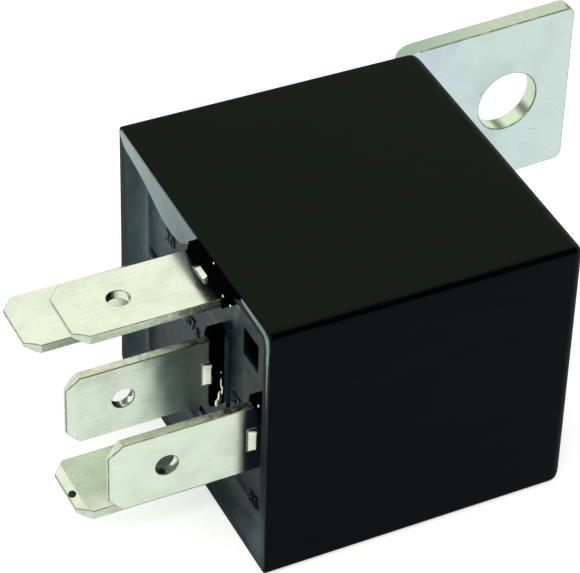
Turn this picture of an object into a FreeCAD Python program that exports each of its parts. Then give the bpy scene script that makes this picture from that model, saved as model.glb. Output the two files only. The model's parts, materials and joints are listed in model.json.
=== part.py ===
import FreeCAD, Part
import math
import os
import Sketcher
from types import SimpleNamespace
from FreeCAD import Vector

# Immobilizer relay, lying on one side as in the photograph.
# X runs along the relay from the tabs to the closed end, Y from front to back, Z up.
# The origin is the centre of the side face that it rests on. Sizes are in millimetres.
SIZES = {
    # moulded cover
    "cover_length": 26.0,
    "cover_depth": 27.6,
    "cover_height": 24.0,
    "side_wall": 1.1,
    "end_wall": 1.2,
    "side_round": 0.5,
    "end_round": 1.0,
    "bore_round": 0.4,
    # moulded base and its resin seal
    "base_recess": 1.3,
    "base_thick": 2.2,
    "base_gap": 0.08,
    "base_rib": 0.9,
    "base_rib_height": 1.4,
    "slot_gap": 0.05,
    "boss_wall": 0.6,
    "boss_height": 1.0,
    "foot_pad_height": 0.5,
    "foot_pad_width": 2.0,
    "foot_pad_length": 8.0,
    "groove_width": 1.0,
    "groove_depth": 0.9,
    "seal_climb": 0.7,
    "seal_lip": 0.12,
    "well_margin": 0.4,
    "well_front": 0.9,
    "well_depth": 0.8,
    "vent_side": 2.6,
    "vent_depth": 1.5,
    "vent_from_front": 6.0,
    "vent_above_middle": 5.6,
    # blade tabs
    "tab_width": 6.3,
    "tab_thick": 0.8,
    "tab_reach": 11.6,
    "tab_corner": 1.05,
    "tab_bevel_length": 0.75,
    "tab_bevel_depth": 0.2,
    "tab_hole": 1.8,
    "tab_hole_from_tip": 4.6,
    "stop_width": 2.2,
    "stop_length": 0.7,
    "stop_height": 0.45,
    "stop_from_rim": 0.15,
    # tab layout
    "coil_tab_from_wall": 2.1,
    "coil_tab_gap": 0.45,
    "open_tab_from_wall": 1.9,
    "closed_tab_gap": 0.45,
    "common_tab_from_wall": 5.0,
    # yoke, core and coil
    "yoke_thick": 1.5,
    "yoke_side_gap": 1.4,
    "yoke_foot_inset": 0.35,
    "yoke_from_wall": 1.3,
    "hinge_headroom": 6.0,
    "core_diameter": 5.6,
    "core_tail_diameter": 3.8,
    "pole_diameter": 8.4,
    "pole_thick": 0.9,
    "bore_gap": 0.1,
    "bobbin_tube_wall": 0.8,
    "flange_thick": 0.9,
    "flange_depth": 11.4,
    "flange_side_gap": 0.2,
    "flange_gap": 0.35,
    "seat_gap": 0.05,
    "winding_inset": 0.3,
    "tape_thick": 0.15,
    "peg_width": 1.6,
    "peg_past_wire": 0.7,
    "peg_notch_gap": 0.3,
    "peg_notch_depth": 1.4,
    "lead_diameter": 0.3,
    "lead_bend": 0.5,
    "solder_diameter": 1.3,
    "solder_thick": 0.4,
    # armature, contact spring and contacts
    "open_angle": 2.4,
    "armature_gap": 0.04,
    "armature_thick": 1.5,
    "armature_inset": 1.0,
    "armature_length": 12.6,
    "spring_thick": 0.25,
    "spring_width": 8.0,
    "tongue_width": 4.8,
    "tongue_past_contact": 2.2,
    "spring_leg": 7.0,
    "spring_bow": 0.45,
    "spring_straight": 1.2,
    "rivet_diameter": 1.4,
    "rivet_head_diameter": 2.4,
    "rivet_head": 0.4,
    "rivet_gap": 0.05,
    "rivet_pitch": 4.4,
    "armature_rivet_from_hinge": 9.6,
    "yoke_rivet_from_hinge": 5.6,
    "contact_diameter": 3.6,
    "contact_head": 0.7,
    "contact_edge": 0.3,
    "contact_shank": 1.8,
    "contact_from_tab": 2.4,
    "make_gap": 0.05,
    "break_gap": 0.12,
    "contact_table_width": 5.4,
    "contact_table_margin": 0.2,
    "side_post_width": 3.2,
    "side_post_inset": 1.5,
    "side_post_start": 4.6,
    # mounting bracket
    "bracket_thick": 1.5,
    "bracket_width": 15.8,
    "bracket_standoff": 4.1,
    "bracket_splay": 2.2,
    "bracket_past_hole": 6.0,
    "bracket_past_stake": 3.8,
    "bracket_bend": 1.2,
    "bracket_corner": 0.7,
    "bracket_hole": 5.6,
    "bracket_hole_from_cover": 11.6,
    "stake_diameter": 3.0,
    "stake_gap": 0.1,
    "stake_head_diameter": 4.6,
    "stake_head": 0.8,
    "stake_head_edge": 0.5,
    "stake_pitch": 9.0,
    "stake_from_back": 7.0,
}


def text_of(term):
    return term.text if isinstance(term, Size) else str(term)


def value_of(term):
    return term.value if isinstance(term, Size) else float(term)


class Size:
    """A length that keeps its number together with the sheet expression that drives it."""

    def __init__(self, text, value):
        self.text = text
        self.value = value

    def __add__(self, other):
        return Size(f"({self.text} + {text_of(other)})", self.value + value_of(other))

    def __radd__(self, other):
        return Size(f"({text_of(other)} + {self.text})", value_of(other) + self.value)

    def __sub__(self, other):
        return Size(f"({self.text} - {text_of(other)})", self.value - value_of(other))

    def __rsub__(self, other):
        return Size(f"({text_of(other)} - {self.text})", value_of(other) - self.value)

    def __mul__(self, other):
        return Size(f"({self.text} * {text_of(other)})", self.value * value_of(other))

    def __rmul__(self, other):
        return Size(f"({text_of(other)} * {self.text})", value_of(other) * self.value)

    def __truediv__(self, other):
        return Size(f"({self.text} / {text_of(other)})", self.value / value_of(other))

    def __neg__(self):
        return Size(f"(0 - {self.text})", -self.value)


def sine(angle):
    return Size(f"sin({angle.text} * 1 deg)", math.sin(math.radians(angle.value)))


def cosine(angle):
    return Size(f"cos({angle.text} * 1 deg)", math.cos(math.radians(angle.value)))


def write_sheet(doc):
    """Puts the driving sizes in a sheet and returns them under their own names."""
    sheet = doc.addObject("Spreadsheet::Sheet", "Sizes")
    for row, (name, number) in enumerate(SIZES.items(), start=1):
        sheet.set(f"A{row}", str(number))
        sheet.setAlias(f"A{row}", name)
    doc.recompute()
    return SimpleNamespace(**{name: Size(f"Sizes.{name}", number) for name, number in SIZES.items()})


# Sketches and features

def new_piece(name):
    piece = doc.addObject("PartDesign::Body", name)
    piece.Label = name
    piece.AllowCompound = True
    return piece


def new_sketch(piece, name, plane, offset=0, across=0, up=0, turn=None):
    """A sketch on one of the piece's own origin planes, moved by three sheet-driven distances.

    It can be turned about its own upright axis by a sheet-driven angle.
    """
    sketch = piece.newObject("Sketcher::SketchObject", name)
    support = next(f for f in piece.Origin.OriginFeatures if f.Role == plane)
    sketch.AttachmentSupport = [(support, "")]
    sketch.MapMode = "FlatFace"
    if turn is not None:
        turned_frame = FreeCAD.Rotation(Vector(0, 1, 0), turn.value)
        sketch.AttachmentOffset = FreeCAD.Placement(Vector(), turned_frame)
        sketch.setExpression("AttachmentOffset.Rotation.Angle", f"{turn.text} * 1 deg")
    for axis, distance in (("x", across), ("y", up), ("z", offset)):
        sketch.setExpression(f"AttachmentOffset.Base.{axis}", text_of(distance))
    return sketch


def tie_point(sketch, edge, position, across, up):
    """Holds one end of an edge, or a circle's centre, at two sheet-driven distances."""
    for kind, distance in (("DistanceX", across), ("DistanceY", up)):
        index = sketch.addConstraint(
            Sketcher.Constraint(kind, -1, 1, edge, position, value_of(distance)))
        sketch.setExpression(f"Constraints[{index}]", text_of(distance))


def add_outline(sketch, points):
    """Draws a closed outline of straight edges through the points."""
    first = sketch.GeometryCount
    corners = [Vector(value_of(a), value_of(b), 0) for a, b in points]
    count = len(corners)
    for start, end in zip(corners, corners[1:] + corners[:1]):
        sketch.addGeometry(Part.LineSegment(start, end), False)
    for step in range(count):
        sketch.addConstraint(
            Sketcher.Constraint("Coincident", first + step, 2, first + (step + 1) % count, 1))
    for step, (across, up) in enumerate(points):
        tie_point(sketch, first + step, 1, across, up)


def add_circle(sketch, centre, diameter):
    """Draws a circle with a sheet-driven centre and radius."""
    middle = Vector(value_of(centre[0]), value_of(centre[1]), 0)
    radius = diameter / 2
    edge = sketch.addGeometry(Part.Circle(middle, Vector(0, 0, 1), value_of(radius)), False)
    tie_point(sketch, edge, 3, *centre)
    index = sketch.addConstraint(Sketcher.Constraint("Radius", edge, value_of(radius)))
    sketch.setExpression(f"Constraints[{index}]", text_of(radius))


def add_route(sketch, points):
    """Draws an open path of straight runs through the points."""
    corners = [Vector(value_of(a), value_of(b), 0) for a, b in points]
    for run, (start, end) in enumerate(zip(corners, corners[1:])):
        sketch.addGeometry(Part.LineSegment(start, end), False)
        if run:
            sketch.addConstraint(Sketcher.Constraint("Coincident", run - 1, 2, run, 1))
        tie_point(sketch, run, 1, *points[run])
    tie_point(sketch, len(points) - 2, 2, *points[-1])


def extrude(piece, name, plane, draw, low, high, cut=False):
    """Pads or cuts what draw puts in a sketch, from low to high along the plane's own axis."""
    before = piece.Shape.Volume if cut else 0
    offset = -high if plane == "XZ_Plane" else low
    sketch = new_sketch(piece, f"{name}_sketch", plane, offset)
    draw(sketch)
    kind = "PartDesign::Pocket" if cut else "PartDesign::Pad"
    feature = piece.newObject(kind, name)
    feature.Profile = sketch
    feature.Reversed = cut
    feature.setExpression("Length", text_of(high - low))
    doc.recompute()
    if cut and piece.Shape.Volume >= before:
        raise RuntimeError(f"{name} cuts nothing")
    return feature


def prism(piece, name, plane, points, low, high, cut=False):
    return extrude(piece, name, plane, lambda sketch: add_outline(sketch, points), low, high, cut)


def rod(piece, name, plane, centre, diameter, low, high, cut=False):
    return extrude(piece, name, plane, lambda sketch: add_circle(sketch, centre, diameter),
                   low, high, cut)


def turned(piece, name, profile, axis_y, axis_z):
    """Turns a profile of (x, radius) points about an axis that runs along X."""
    sketch = new_sketch(piece, f"{name}_sketch", "XY_Plane", axis_z, 0, axis_y)
    add_outline(sketch, profile)
    feature = piece.newObject("PartDesign::Revolution", name)
    feature.Profile = sketch
    feature.ReferenceAxis = (sketch, ["H_Axis"])
    feature.Angle = 360
    doc.recompute()
    return feature


def rounded(piece, name, radius, wanted, kind="PartDesign::Fillet"):
    """Rounds the edges of the piece that the test asks for."""
    tip = piece.Tip
    names = [f"Edge{number}" for number, edge in enumerate(tip.Shape.Edges, start=1) if wanted(edge)]
    if not names:
        raise RuntimeError(f"{name} finds no edge")
    feature = piece.newObject(kind, name)
    feature.Base = (tip, names)
    feature.setExpression("Radius" if kind.endswith("Fillet") else "Size", text_of(radius))
    doc.recompute()
    return feature


def rectangle(low_a, high_a, low_b, high_b):
    return [(low_a, low_b), (high_a, low_b), (high_a, high_b), (low_a, high_b)]


def centred(middle_a, side_a, middle_b, side_b):
    return rectangle(middle_a - side_a / 2, middle_a + side_a / 2,
                     middle_b - side_b / 2, middle_b + side_b / 2)


def is_near(number, place, slack=0.001):
    return abs(number - value_of(place)) < slack


def runs_along(edge, axis):
    """True for a straight edge that lies along one axis."""
    box = edge.BoundBox
    lengths = {"x": box.XLength, "y": box.YLength, "z": box.ZLength}
    return all(length < 0.001 for key, length in lengths.items() if key != axis)


doc = FreeCAD.newDocument("ImmobilizerRelay")
s = write_sheet(doc)

# Places that several pieces share

middle_z = s.cover_height / 2
rim_x = -s.cover_length / 2
end_x = s.cover_length / 2
front_y = -s.cover_depth / 2
back_y = s.cover_depth / 2
bore_y = back_y - s.side_wall
bore_low_z = s.side_wall
bore_high_z = s.cover_height - s.side_wall
bore_end_x = end_x - s.end_wall

base_outer_x = rim_x + s.base_recess
base_inner_x = base_outer_x + s.base_thick
groove_x = base_outer_x + s.groove_depth
island_y = bore_y - s.base_gap - s.groove_width
island_low_z = bore_low_z + s.base_gap + s.groove_width
island_high_z = bore_high_z - s.base_gap - s.groove_width

foot_x = base_inner_x + s.foot_pad_height
foot_top_x = foot_x + s.yoke_thick
yoke_back_y = bore_y - s.yoke_from_wall
yoke_inner_y = yoke_back_y - s.yoke_thick
hinge_x = bore_end_x - s.hinge_headroom
hinge_y = yoke_back_y
coil_y = yoke_inner_y - s.flange_gap - s.flange_depth / 2
coil_front_y = coil_y - s.flange_depth / 2
flange_low_x = foot_top_x + s.seat_gap
flange_high_x = hinge_x - s.pole_thick - s.seat_gap
turns_low_x = flange_low_x + s.flange_thick
turns_high_x = flange_high_x - s.flange_thick
turns_diameter = s.flange_depth - 2 * s.winding_inset
wire_x = turns_low_x + s.lead_diameter

tip_x = rim_x - s.tab_reach
open_tab_y = s.open_tab_from_wall - bore_y
closed_tab_y = coil_front_y - s.closed_tab_gap - s.tab_thick / 2
common_tab_y = bore_y - s.common_tab_from_wall
coil_tab_y = coil_front_y - s.coil_tab_gap
coil_tab_low_z = bore_low_z + s.coil_tab_from_wall
coil_tab_high_z = bore_high_z - s.coil_tab_from_wall
peg_face = middle_z - coil_tab_low_z - s.tab_thick / 2
yoke_width = 2 * (peg_face - s.yoke_side_gap)
flange_height = yoke_width - 2 * s.flange_side_gap

# Places on the moving arm, measured from the hinge with the armature closed
armature_face = s.armature_gap
armature_top = armature_face + s.armature_thick
spring_top = armature_top + s.spring_thick
contact_y = open_tab_y + s.contact_from_tab
contact_reach = hinge_y - contact_y
moving_low = armature_top - s.contact_head
moving_high = spring_top + s.contact_head
make_face_x = hinge_x + moving_low - s.make_gap
break_face_x = (hinge_x + moving_high * cosine(s.open_angle)
                + contact_reach * sine(s.open_angle) + s.break_gap)
make_table_x = make_face_x - s.contact_head
break_table_x = break_face_x + s.contact_head
table_overhang = s.contact_diameter / 2 + s.contact_table_margin

bracket_front_y = back_y + s.bracket_standoff
bracket_outer_x = end_x + s.bracket_thick
bolt_hole_reach = s.bracket_hole_from_cover - s.bracket_thick
bracket_reach = bolt_hole_reach + s.bracket_past_hole
stake_ys = [back_y - s.stake_from_back, back_y - s.stake_from_back - s.stake_pitch]

# Each tab: the plane its blade is stamped in, and the middle of its width and thickness
TABS = {
    "30": ("XY_Plane", common_tab_y, middle_z),
    "85": ("XY_Plane", coil_tab_y, coil_tab_low_z),
    "86": ("XY_Plane", coil_tab_y, coil_tab_high_z),
    "87": ("XZ_Plane", open_tab_y, middle_z),
    "87a": ("XZ_Plane", closed_tab_y, middle_z),
}


def tab_section(tab, margin, front=0):
    """The rectangle round a tab in the base's plane, wider by front on the side that the stop is on."""
    plane, y, z = TABS[tab]
    wide = s.tab_width / 2 + margin
    thick = s.tab_thick / 2 + margin
    if plane == "XY_Plane":
        return rectangle(y - wide, y + wide, z - thick, z + thick + front)
    return rectangle(y - thick - front, y + thick, z - wide, z + wide)


def make_cover():
    """One moulded box, open at the tab end, with two stakes that hold the bracket."""
    cover = new_piece("cover")
    outline = rectangle(front_y, back_y, 0, s.cover_height)
    prism(cover, "box", "YZ_Plane", outline, rim_x, end_x)
    rounded(cover, "long_rounds", s.side_round, lambda edge: runs_along(edge, "x"))
    rounded(cover, "end_rounds", s.end_round, lambda edge: is_near(edge.BoundBox.XMin, end_x))
    bore = rectangle(-bore_y, bore_y, bore_low_z, bore_high_z)
    prism(cover, "bore", "YZ_Plane", bore, rim_x, bore_end_x, cut=True)
    rounded(cover, "bore_rounds", s.bore_round,
            lambda edge: runs_along(edge, "x") and abs(edge.BoundBox.YMin) < value_of(bore_y) + 0.1
            and edge.BoundBox.XLength > value_of(s.cover_length) / 2
            and value_of(bore_low_z) / 2 < edge.BoundBox.ZMin < value_of(bore_high_z) + 0.1)
    head_x = bracket_outer_x + s.stake_head
    for number, y in enumerate(stake_ys, start=1):
        rod(cover, f"stake_{number}", "YZ_Plane", (y, middle_z), s.stake_diameter,
            end_x, bracket_outer_x)
        rod(cover, f"stake_head_{number}", "YZ_Plane", (y, middle_z), s.stake_head_diameter,
            bracket_outer_x, head_x)
    rounded(cover, "stake_head_edges", s.stake_head_edge,
            lambda edge: is_near(edge.BoundBox.XMin, head_x), "PartDesign::Chamfer")
    return cover


def make_base():
    """The moulded base: a plate with a sealing groove, tab slots, resin wells, a vent well and a rib."""
    base = new_piece("base")
    plate_y = bore_y - s.base_gap
    plate_low_z = bore_low_z + s.base_gap
    plate_high_z = bore_high_z - s.base_gap
    rib_top_x = base_inner_x + s.base_rib_height
    rib_y = plate_y - s.base_rib
    prism(base, "plate", "YZ_Plane", rectangle(-plate_y, plate_y, plate_low_z, plate_high_z),
          groove_x, rib_top_x)
    rounded(base, "plate_rounds", s.bore_round, lambda edge: runs_along(edge, "x"))
    prism(base, "tray", "YZ_Plane",
          rectangle(-rib_y, rib_y, plate_low_z + s.base_rib, plate_high_z - s.base_rib),
          base_inner_x, rib_top_x, cut=True)
    prism(base, "island", "YZ_Plane", rectangle(-island_y, island_y, island_low_z, island_high_z),
          base_outer_x, groove_x)
    for side, name in ((-1, "low"), (1, "high")):
        pad_z = middle_z + side * (yoke_width - s.foot_pad_width) / 2
        prism(base, f"foot_pad_{name}", "YZ_Plane",
              centred(coil_y, s.foot_pad_length, pad_z, s.foot_pad_width),
              base_inner_x, foot_x)
    for tab in ("85", "86", "87"):
        prism(base, f"boss_{tab}", "YZ_Plane", tab_section(tab, s.boss_wall),
              base_inner_x, base_inner_x + s.boss_height)
    for tab in TABS:
        prism(base, f"well_{tab}", "YZ_Plane", tab_section(tab, s.well_margin, s.well_front),
              base_outer_x, base_outer_x + s.well_depth, cut=True)
        prism(base, f"slot_{tab}", "YZ_Plane", tab_section(tab, s.slot_gap),
              base_outer_x, base_inner_x + s.boss_height, cut=True)
    vent = centred(front_y + s.vent_from_front, s.vent_side,
                   middle_z + s.vent_above_middle, s.vent_side)
    prism(base, "vent", "YZ_Plane", vent, base_outer_x, base_outer_x + s.vent_depth, cut=True)
    return base


def make_sealant():
    """Poured resin: a ring in the groove that climbs the cover's wall, and a pool at each tab."""
    sealant = new_piece("sealant")
    top_x = base_outer_x - s.seal_climb
    prism(sealant, "ring", "YZ_Plane", rectangle(-bore_y, bore_y, bore_low_z, bore_high_z),
          top_x, groove_x)
    rounded(sealant, "ring_rounds", s.bore_round, lambda edge: runs_along(edge, "x"))
    prism(sealant, "ring_bore", "YZ_Plane",
          rectangle(-island_y, island_y, island_low_z, island_high_z), top_x, groove_x, cut=True)
    before = sealant.Shape.Volume
    narrow = new_sketch(sealant, "slope_narrow", "YZ_Plane", base_outer_x)
    add_outline(narrow, rectangle(-island_y, island_y, island_low_z, island_high_z))
    lip_y = bore_y - s.seal_lip
    wide = new_sketch(sealant, "slope_wide", "YZ_Plane", top_x)
    add_outline(wide, rectangle(-lip_y, lip_y, bore_low_z + s.seal_lip, bore_high_z - s.seal_lip))
    slope = sealant.newObject("PartDesign::SubtractiveLoft", "slope")
    slope.Profile = narrow
    slope.Sections = [(wide, [""])]
    slope.Ruled = True
    doc.recompute()
    if sealant.Shape.Volume >= before:
        raise RuntimeError("the resin's slope cuts nothing")
    for tab in TABS:
        prism(sealant, f"pool_{tab}", "YZ_Plane", tab_section(tab, s.well_margin, s.well_front),
              base_outer_x, base_outer_x + s.well_depth)
    for tab in TABS:
        prism(sealant, f"slot_{tab}", "YZ_Plane", tab_section(tab, 0),
              base_outer_x - s.seal_climb, groove_x + s.well_depth, cut=True)
    return sealant


def make_tab(tab, inner_x):
    """A flat blade tab, stamped and bevelled at its tip, that runs in to inner_x."""
    piece = new_piece(f"terminal_{tab}")
    plane, y, z = TABS[tab]
    upright = plane == "XZ_Plane"
    middle, level = (z, y) if upright else (y, z)
    half = s.tab_width / 2
    low = level - s.tab_thick / 2
    high = level + s.tab_thick / 2
    outline = [
        (tip_x, middle - half + s.tab_corner),
        (tip_x + s.tab_corner, middle - half),
        (inner_x, middle - half),
        (inner_x, middle + half),
        (tip_x + s.tab_corner, middle + half),
        (tip_x, middle + half - s.tab_corner),
    ]
    prism(piece, "blade", plane, outline, low, high)
    hole = (tip_x + s.tab_hole_from_tip, middle)
    rod(piece, "detent_hole", plane, hole, s.tab_hole, low, high, cut=True)
    across = "XY_Plane" if upright else "XZ_Plane"
    for name, face, inward in (("low", low, 1), ("high", high, -1)):
        wedge = [(tip_x, face), (tip_x + s.tab_bevel_length, face),
                 (tip_x, face + inward * s.tab_bevel_depth)]
        prism(piece, f"tip_bevel_{name}", across, wedge, middle - half, middle + half, cut=True)
    stop_x = rim_x - s.stop_from_rim
    stop = centred(stop_x, s.stop_length, middle, s.stop_width)
    outward = (low - s.stop_height, low) if upright else (high, high + s.stop_height)
    prism(piece, "stop", plane, stop, *outward)
    return piece


def make_common_terminal():
    """Terminal 30 ends in a tenon that is staked through the yoke's foot."""
    piece = make_tab("30", base_inner_x)
    prism(piece, "neck", "XY_Plane",
          rectangle(base_inner_x, foot_x, common_tab_y - s.peg_width, common_tab_y + s.peg_width),
          middle_z - s.tab_thick / 2, middle_z + s.tab_thick / 2)
    prism(piece, "tenon", "XY_Plane",
          rectangle(foot_x, foot_top_x, common_tab_y - s.peg_width / 2, common_tab_y + s.peg_width / 2),
          middle_z - s.tab_thick / 2, middle_z + s.tab_thick / 2)
    return piece


def make_coil_terminal(tab):
    """Terminals 85 and 86 end in a peg that the coil's wire is soldered to."""
    piece = make_tab(tab, base_inner_x + s.boss_height)
    level = TABS[tab][2]
    peg_x = base_inner_x + s.boss_height
    prism(piece, "peg", "XY_Plane",
          rectangle(peg_x, wire_x + s.peg_past_wire,
                    coil_tab_y - s.peg_width / 2, coil_tab_y + s.peg_width / 2),
          level - s.tab_thick / 2, level + s.tab_thick / 2)
    return piece


def make_open_terminal():
    """Terminal 87 rises to a table that carries the normally open contact."""
    piece = make_tab("87", base_inner_x + s.boss_height)
    half = s.contact_table_width / 2
    low_y = open_tab_y - s.tab_thick / 2
    prism(piece, "post", "XZ_Plane",
          rectangle(base_inner_x + s.boss_height, make_table_x, middle_z - half, middle_z + half),
          low_y, low_y + s.tab_thick)
    prism(piece, "table", "YZ_Plane",
          rectangle(low_y, contact_y + table_overhang, middle_z - half, middle_z + half),
          make_table_x - s.tab_thick, make_table_x)
    return piece


def make_closed_terminal():
    """Terminal 87a steps aside, passes the armature and folds over the moving contact."""
    piece = make_tab("87a", base_inner_x)
    half = s.tab_width / 2
    low_y = closed_tab_y - s.tab_thick / 2
    high_y = low_y + s.tab_thick
    side_high_z = bore_high_z - s.side_post_inset
    side_low_z = side_high_z - s.side_post_width
    step_x = base_inner_x + s.side_post_start
    table_outer_x = break_table_x + s.tab_thick
    post = [
        (base_inner_x, middle_z - half),
        (step_x, middle_z - half),
        (step_x + s.side_post_width, middle_z + half),
        (step_x + s.side_post_width, side_low_z),
        (table_outer_x, side_low_z),
        (table_outer_x, side_high_z),
        (step_x, side_high_z),
        (step_x, middle_z + half),
        (base_inner_x, middle_z + half),
    ]
    prism(piece, "post", "XZ_Plane", post, low_y, high_y)
    tongue = s.contact_table_width / 2
    front = contact_y - table_overhang
    rear = contact_y + table_overhang
    fold = [
        (high_y, side_low_z),
        (high_y, side_high_z),
        (front, side_high_z),
        (front, middle_z - tongue),
        (rear, middle_z - tongue),
        (rear, side_low_z),
    ]
    prism(piece, "fold", "YZ_Plane", fold, break_table_x, table_outer_x)
    return piece


def make_yoke():
    """An L of soft iron: the foot carries the core and the leg carries the hinge edge."""
    yoke = new_piece("yoke")
    foot_front_y = coil_front_y + s.yoke_foot_inset
    profile = [
        (foot_x, foot_front_y),
        (foot_top_x, foot_front_y),
        (foot_top_x, yoke_inner_y),
        (hinge_x, yoke_inner_y),
        (hinge_x, yoke_back_y),
        (foot_x, yoke_back_y),
    ]
    prism(yoke, "bent_plate", "XY_Plane", profile,
          middle_z - yoke_width / 2, middle_z + yoke_width / 2)
    rounded(yoke, "outer_bend", s.yoke_thick,
            lambda edge: runs_along(edge, "z") and is_near(edge.BoundBox.XMin, foot_x)
            and is_near(edge.BoundBox.YMin, yoke_back_y))
    rod(yoke, "core_hole", "YZ_Plane", (coil_y, middle_z), s.core_tail_diameter + s.rivet_gap,
        foot_x, foot_top_x, cut=True)
    prism(yoke, "tenon_slot", "YZ_Plane",
          centred(common_tab_y, s.peg_width + s.rivet_gap, middle_z, s.tab_thick + s.rivet_gap),
          foot_x, foot_top_x, cut=True)
    for name, z in rivet_places():
        rod(yoke, f"rivet_hole_{name}", "XZ_Plane", (hinge_x - s.yoke_rivet_from_hinge, z),
            s.rivet_diameter + s.rivet_gap, yoke_inner_y, yoke_back_y, cut=True)
    return yoke


def rivet_places():
    return (("low", middle_z - s.rivet_pitch / 2), ("high", middle_z + s.rivet_pitch / 2))


def make_core():
    """A turned iron core: riveted tail, shank and pole head."""
    core = new_piece("core")
    tail = s.core_tail_diameter / 2
    shank = s.core_diameter / 2
    pole = s.pole_diameter / 2
    profile = [
        (foot_x, 0), (foot_x, tail), (foot_top_x, tail), (foot_top_x, shank),
        (hinge_x - s.pole_thick, shank), (hinge_x - s.pole_thick, pole),
        (hinge_x, pole), (hinge_x, 0),
    ]
    turned(core, "turning", profile, coil_y, middle_z)
    return core


def make_bobbin():
    """A moulded bobbin: a tube with two square flanges, notched for the wire."""
    bobbin = new_piece("bobbin")
    bore = s.core_diameter / 2 + s.bore_gap
    tube = bore + s.bobbin_tube_wall
    profile = [(flange_low_x, bore), (flange_low_x, tube), (flange_high_x, tube), (flange_high_x, bore)]
    turned(bobbin, "tube", profile, coil_y, middle_z)
    square = centred(coil_y, s.flange_depth, middle_z, flange_height)
    ends = {"low": (flange_low_x, flange_low_x + s.flange_thick),
            "high": (flange_high_x - s.flange_thick, flange_high_x)}
    for name, (low, high) in ends.items():
        prism(bobbin, f"flange_{name}", "YZ_Plane", square, low, high)
        rod(bobbin, f"bore_{name}", "YZ_Plane", (coil_y, middle_z), 2 * bore, low, high, cut=True)
    notch_reach = s.peg_width / 2 + s.peg_notch_gap
    for side, name in ((-1, "low"), (1, "high")):
        edge_z = middle_z + side * flange_height / 2
        notch = centred(coil_tab_y, 2 * notch_reach, edge_z, 2 * s.peg_notch_depth)
        prism(bobbin, f"peg_notch_{name}", "YZ_Plane", notch, *ends["low"], cut=True)
    return bobbin


def make_winding():
    coil = new_piece("coil_winding")
    inner = s.core_diameter / 2 + s.bore_gap + s.bobbin_tube_wall
    outer = turns_diameter / 2
    profile = [(turns_low_x, inner), (turns_low_x, outer), (turns_high_x, outer), (turns_high_x, inner)]
    turned(coil, "turns", profile, coil_y, middle_z)
    return coil


def make_tape():
    tape = new_piece("coil_tape")
    inner = turns_diameter / 2
    outer = inner + s.tape_thick
    low_x = turns_low_x + 2 * s.lead_diameter
    high_x = turns_high_x - 2 * s.lead_diameter
    turned(tape, "wrap", [(low_x, inner), (low_x, outer), (high_x, outer), (high_x, inner)],
           coil_y, middle_z)
    return tape


def make_coil_lead(tab, side):
    """The winding's wire end: it leaves the coil, bends across to the peg and is soldered there."""
    lead = new_piece(f"coil_lead_{tab}")
    peg_z = middle_z + side * peg_face
    start_z = middle_z + side * turns_diameter / 2
    run_z = peg_z - side * s.solder_thick / 2
    bend_z = run_z - side * s.lead_bend
    bend_y = coil_y - s.lead_bend
    path = new_sketch(lead, "wire_path", "YZ_Plane", wire_x)
    add_route(path, [(coil_y, start_z), (coil_y, bend_z), (bend_y, run_z), (coil_tab_y, run_z)])
    section = new_sketch(lead, "wire_section", "XY_Plane", start_z)
    add_circle(section, (wire_x, coil_y), s.lead_diameter)
    wire = lead.newObject("PartDesign::AdditivePipe", "wire")
    wire.Profile = section
    wire.Spine = (path, ["Edge1", "Edge2", "Edge3"])
    wire.Transition = "Right corner"
    doc.recompute()
    solder = sorted((peg_z, peg_z - side * s.solder_thick), key=value_of)
    rod(lead, "solder", "XY_Plane", (wire_x, coil_tab_y), s.solder_diameter, *solder)
    return lead


def set_on_hinge(piece):
    """Puts a piece drawn in the closed pose, from the hinge, at its resting angle."""
    for axis, distance in (("x", hinge_x), ("y", hinge_y), ("z", middle_z)):
        piece.setExpression(f"Placement.Base.{axis}", text_of(distance))
    piece.setExpression("Placement.Rotation.Angle", f"{s.open_angle.text} * 1 deg")
    doc.recompute()


def make_armature():
    """The iron plate that the core pulls in. It tips on the yoke's outer edge."""
    armature = new_piece("armature")
    half = yoke_width / 2 - s.armature_inset
    prism(armature, "plate", "XY_Plane",
          rectangle(armature_face, armature_top, -s.armature_length, 0), -half, half)
    for name, z in rivet_places():
        rod(armature, f"rivet_hole_{name}", "YZ_Plane", (-s.armature_rivet_from_hinge, z - middle_z),
            s.rivet_diameter + s.rivet_gap, armature_face, armature_top, cut=True)
    set_on_hinge(armature)
    return armature


def on_arm(reach, rise):
    """Where a point of the closed arm, given from the hinge, lies with the arm at rest."""
    across = rise * cosine(s.open_angle) + reach * sine(s.open_angle)
    back = rise * sine(s.open_angle) - reach * cosine(s.open_angle)
    return hinge_x + across, hinge_y + back


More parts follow.
